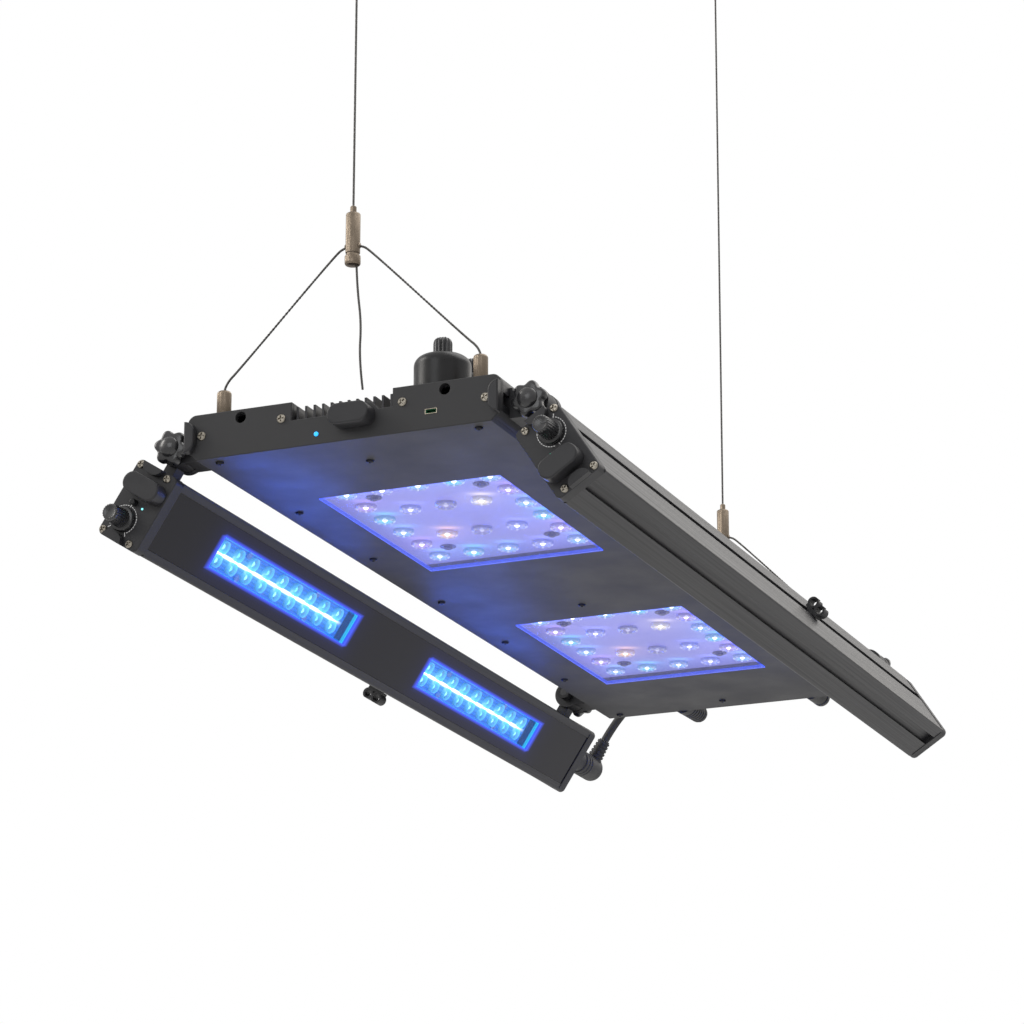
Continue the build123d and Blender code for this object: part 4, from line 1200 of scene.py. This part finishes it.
class LIGHT_OT_bar_windows(bpy.types.Operator):
    """Glossy front strips, lit blue boards, lenses and clear panes of the bars"""

    bl_idname = "aquarium_light.bar_windows"
    bl_label = "Bar windows"

    def execute(self, context):
        colours, sizes = context.scene.light_lamps, context.scene.light_sizes
        strip = gloss_strip_and_glow(context.scene.light_finishes.strip)
        lit = glow_finish("lit_bar_board", 1.0, 0.4, BAR_PITCH, 0.0)
        lens = lens_finish()
        pane = pane_finish((0.3, 0.6, 1.0), BAR_PITCH, 0.0)
        for word, side in SIDES.items():
            face, body = bar_face(side), f"{word}_bar"
            boards, panes = Stock(), Stock()
            for end in (-1, 1):
                middle = face @ Matrix.Translation((end * WINDOW_X, 0.0, 0.0))
                self.board(boards, middle, colours, sizes.board_grid)
                self.pane(panes, middle)
                self.spill(f"{word}_spill_{end + 1}", middle, body, colours.spill)
            make_piece(f"{word}_lit_boards", boards, lit, body, "circuit_board")
            make_piece(f"{word}_strip_lenses", self.lenses(face, colours), lens, body,
                       "clear_lens", f"{word}_led_strips")
            make_piece(f"{word}_prismatic_panes", panes, pane, body, "window_plastic",
                       f"{word}_bar_panes")
            make_piece(f"{word}_front_strip", self.cover(face), strip, body,
                       "gloss_cover", f"{word}_bar_cover")
        return {"FINISHED"}

    def cover(self, face):
        """Front strip with its two windows, and a faint blue glow painted round them."""
        half_x, half_y = BAR_WINDOW[0] / 2 + 0.1 * MM, BAR_WINDOW[1] / 2 + 0.1 * MM
        low, high = BAR_FAR + 10.5 * MM, BAR_NEAR - 10.5 * MM
        breaks = [low] + [end * WINDOW_X + k * half_x for end in (-1, 1) for k in (-1, 1)]
        xs = [breaks[0]]
        for a, b in zip(breaks, breaks[1:] + [high]):
            xs += steps_between(a, b, 6 * MM)[1:]
        ys = [-21.1 * MM]
        for a, b in zip((-21.1 * MM, -half_y, half_y), (-half_y, half_y, 21.1 * MM)):
            ys += steps_between(a, b, 2.4 * MM)[1:]

        def in_window(x, y):
            return abs(abs(x) - WINDOW_X) < half_x and abs(y) < half_y

        shape = plate(xs, ys, 14.7 * MM, 16.3 * MM, in_window)
        glows = []
        for x, y, z in shape[0]:
            off = hypot(max(0.0, abs(abs(x) - WINDOW_X) - half_x),
                        max(0.0, abs(y) - half_y)) / MM
            # Painted light: blue glow on the strip, strongest at each window's edge, for the
            # light spilling onto it.
            light = 0.05 * exp(-off / 9.0) + 1.2 * exp(-off / 0.7)
            glows.append((0.05 * light, 0.1 * light, light))
        return Stock().add(shape, face, glows)

    def board(self, stock, middle, colours, grid):
        """Board behind a bar's window, painted with its light: blue at its edges, cyan towards
        its middle, and a white line along its middle painted as the diode rows' reflection.
        """
        half_x, half_y = 103 * MM, 15 * MM
        shape = plate(steps_between(-half_x, half_x, grid),
                      steps_between(-half_y, half_y, 0.5 * MM), 5.6 * MM, 7.0 * MM)
        glows = []
        for x, y, z in shape[0]:
            core = exp(-(y / MM / 5.2) ** 2)
            end = min(1.0, max(0.0, (half_x - abs(x)) / (16 * MM)))
            core *= 0.25 + 0.75 * end
            wave = 0.82 + 0.18 * cos(2 * pi * x / (22 * MM))
            # Painted reflection: the white line along the middle stands in for the reflections
            # of the diode rows.
            line = 2.6 * exp(-(y / MM / 1.15) ** 4) * end
            glows.append(tuple(a + (b - a) * core * wave + line
                               for a, b in zip(colours.bar_edge, colours.bar_core)))
        stock.add(shape, middle, glows)

    def lenses(self, face, colours):
        """Two rows of lenses along each window, painted with cyan light on their inner sides and
        a highlight on their top lips, and screw heads with a painted blue glow.
        """
        stock = Stock()
        ring = [(2.6, 7.1), (3.9, 8.6), (4.3, 10.6), (4.6, 10.8), (4.7, 7.2)]
        cyan = tuple(colours.bar_core)
        for window in (-WINDOW_X, WINDOW_X):
            for column in range(9):
                for row in (-1, 1):
                    spot = Matrix.Translation((window + (column - 4) * 22 * MM,
                                               row * 5.2 * MM, 0.0))
                    points, faces = turned(ring, 24)
                    glows = []
                    for x, y, z in points:
                        # Painted light: each ring glows brighter on its side towards the
                        # window's middle, with a painted highlight on its top lip.
                        inner = 0.5 - 0.5 * row * y / hypot(x, y)
                        gleam = 0.3 + 0.9 * inner ** 2 + (0.5 if z > 10.5 * MM else 0.0)
                        glows.append(tuple(gleam * c for c in
                                           (cyan[0] * 0.8, cyan[1] * 0.95, cyan[2])))
                    stock.add((points, faces), face @ spot, glows)
                    core = (0.5, 1.6, 2.2) if (column + row) % 2 else (0.25, 1.1, 1.6)
                    stock.add(turned(dome(2.4, 7.0, 9.4, 4), 16), face @ spot, core)
            # Screw heads in each window, painted with a dim blue glow for the window's light on
            # them.
            for x in (-52.0, 52.0):
                for y in (-9.4, 9.4):
                    spot = Matrix.Translation((window + x * MM, y * MM, 0.0))
                    cup = [(3.2, 7.0), (3.2, 7.9), (2.6, 8.3), (1.4, 8.1)]
                    stock.add(turned(cup, 20), face @ spot, (0.004, 0.05, 0.3))
        return stock

    def pane(self, stock, middle):
        """Clear sheet behind the front strip, its ends brightly lit."""
        half_x, half_y = BAR_WINDOW[0] / 2, BAR_WINDOW[1] / 2
        rim = 1.0 * MM
        xs = [-half_x] + steps_between(-half_x + rim, half_x - rim, 0.02) + [half_x]
        ys = [-half_y] + steps_between(-half_y + rim, half_y - rim, 0.006) + [half_y]
        shape = plate(xs, ys, 12.4 * MM, 14.7 * MM)
        glows = []
        # Painted light: the sheet's ends glow brightest, its long edges less, the rest faintly.
        for x, y, z in shape[0]:
            if abs(x) > half_x - 0.1 * MM:
                glows.append((0.2, 4.5, 7.0))
            elif abs(y) > half_y - 0.1 * MM:
                glows.append((0.05, 1.2, 5.0))
            else:
                glows.append((0.02, 0.12, 0.5))
        stock.add(shape, middle, glows)

    def spill(self, name, middle, body, power):
        """Blue light that a window throws on what is round it."""
        lamp = soft_box(name, (0, 0, 0), (0, 0, -1), BAR_WINDOW, power, (0.03, 0.13, 1.0))
        lamp.matrix_world = middle @ Matrix.Translation((0, 0, 18 * MM)) @ \
            Matrix.Rotation(pi, 4, "X")
        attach(lamp, body)


# ---- operators: bar controls ---------------------------------------------------------------
class LIGHT_OT_bar_controls(bpy.types.Operator):
    """Dials with printed scale rings and small indicator lights on the bars' near caps"""

    bl_idname = "aquarium_light.bar_controls"
    bl_label = "Bar controls"

    def execute(self, context):
        colours = context.scene.light_finishes
        # The scale's ink also carries a faint painted glow.
        knob, ink = knob_gloss(colours.knob), print_ink_and_glow((0.75, 0.75, 0.75))
        lights = {"left": (0.25, 0.95, 1.0), "right": (0.0, 0.75, 0.45)}
        for word, side in SIDES.items():
            make_piece(f"{word}_control_dial", self.dial(side), knob,
                       f"{word}_dial_body", "knob_plastic", f"{word}_dial")
            make_piece(f"{word}_scale_ring", self.scale(side), ink, f"{word}_bar",
                       "black_plastic")
            lens = Stock().add(turned(dome(0.75, 0.0, 0.5, 4), 16),
                               bar_end(side, BAR_NEAR, 4.7, -0.5))
            finish = indicator(lights[word], f"{word}_indicator_lens")
            make_piece(f"{word}_indicator", lens, finish, f"{word}_bar", "status_blue")
        return {"FINISHED"}

    def dial(self, side):
        """Skirted dial with fine grip flutes and a notched top."""
        place = bar_end(side, BAR_NEAR, *BAR_DIAL)
        stock = Stock()
        skirt = [(7.9, 0.3), (8.4, 0.5), (8.5, 1.0), (8.5, 2.4), (8.1, 3.1), (7.2, 3.5)]
        stock.add(turned(skirt, 60), place)
        body = [(6.5, 3.4), (6.35, 5.0), (5.8, 16.6), (5.6, 17.9), (5.1, 18.6),
                (4.5, 18.9), (4.1, 18.7)]
        stock.add(turned(body, 160, fluted(20, 0.06)), place)
        stock.add(turned([(3.0, -7.6), (3.0, 0.3)], 20), place)
        notch = plate([1.0 * MM, 4.3 * MM], [-0.45 * MM, 0.45 * MM], 18.6 * MM, 19.0 * MM)
        stock.add(notch, place @ Matrix.Rotation(2.6, 4, "Z"))
        return stock

    def scale(self, side):
        """Broken printed ring with longer ticks at its ends and middle."""
        place = bar_end(side, BAR_NEAR, *BAR_DIAL)
        stock = Stock()
        count = 26
        for i in range(count + 1):
            angle = radians(-50.0 + 280.0 * i / count)
            long_tick = i in (0, count // 2, count)
            reach = (9.1 * MM, 11.8 * MM) if long_tick else (9.5 * MM, 9.95 * MM)
            half = 0.25 * MM if long_tick else 0.62 * MM
            dash = plate(reach, (-half, half), 0.0, 0.06 * MM)
            # Each dash carries a faint grey painted glow.
            stock.add(dash, place @ Matrix.Rotation(angle, 4, "Z"), (0.12, 0.12, 0.12))
        return stock


# ---- panel, registration and the run -------------------------------------------------------
STEPS = (LIGHT_OT_stage, LIGHT_OT_cables, LIGHT_OT_lead, LIGHT_OT_housing,
         LIGHT_OT_screws, LIGHT_OT_hangers, LIGHT_OT_dimmers, LIGHT_OT_end_fittings,
         LIGHT_OT_star_knobs, LIGHT_OT_lamp_windows, LIGHT_OT_bar_windows,
         LIGHT_OT_bar_controls)
SETTINGS = {"light_finishes": LightFinishes, "light_lamps": LampColours,
            "light_sizes": DetailSizes, "light_stage": StageSettings}


class LIGHT_PT_panel(bpy.types.Panel):
    """Lists the steps that build the light"""

    bl_idname = "LIGHT_PT_panel"
    bl_label = "Aquarium light"
    bl_space_type = "VIEW_3D"
    bl_region_type = "UI"
    bl_category = "Aquarium light"

    def draw(self, context):
        for step in STEPS:
            self.layout.operator(step.bl_idname)


def register():
    for kind in (*SETTINGS.values(), *STEPS, LIGHT_PT_panel):
        bpy.utils.register_class(kind)
    for name, kind in SETTINGS.items():
        setattr(bpy.types.Scene, name, PointerProperty(type=kind))


def unregister():
    for name in SETTINGS:
        delattr(bpy.types.Scene, name)
    for kind in (LIGHT_PT_panel, *reversed(STEPS), *SETTINGS.values()):
        bpy.utils.unregister_class(kind)


def main():
    """Builds everything in order."""
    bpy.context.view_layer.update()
    register()
    for step in STEPS:
        group, name = step.bl_idname.split(".")
        getattr(getattr(bpy.ops, group), name)()


if __name__ == "__main__":
    main()
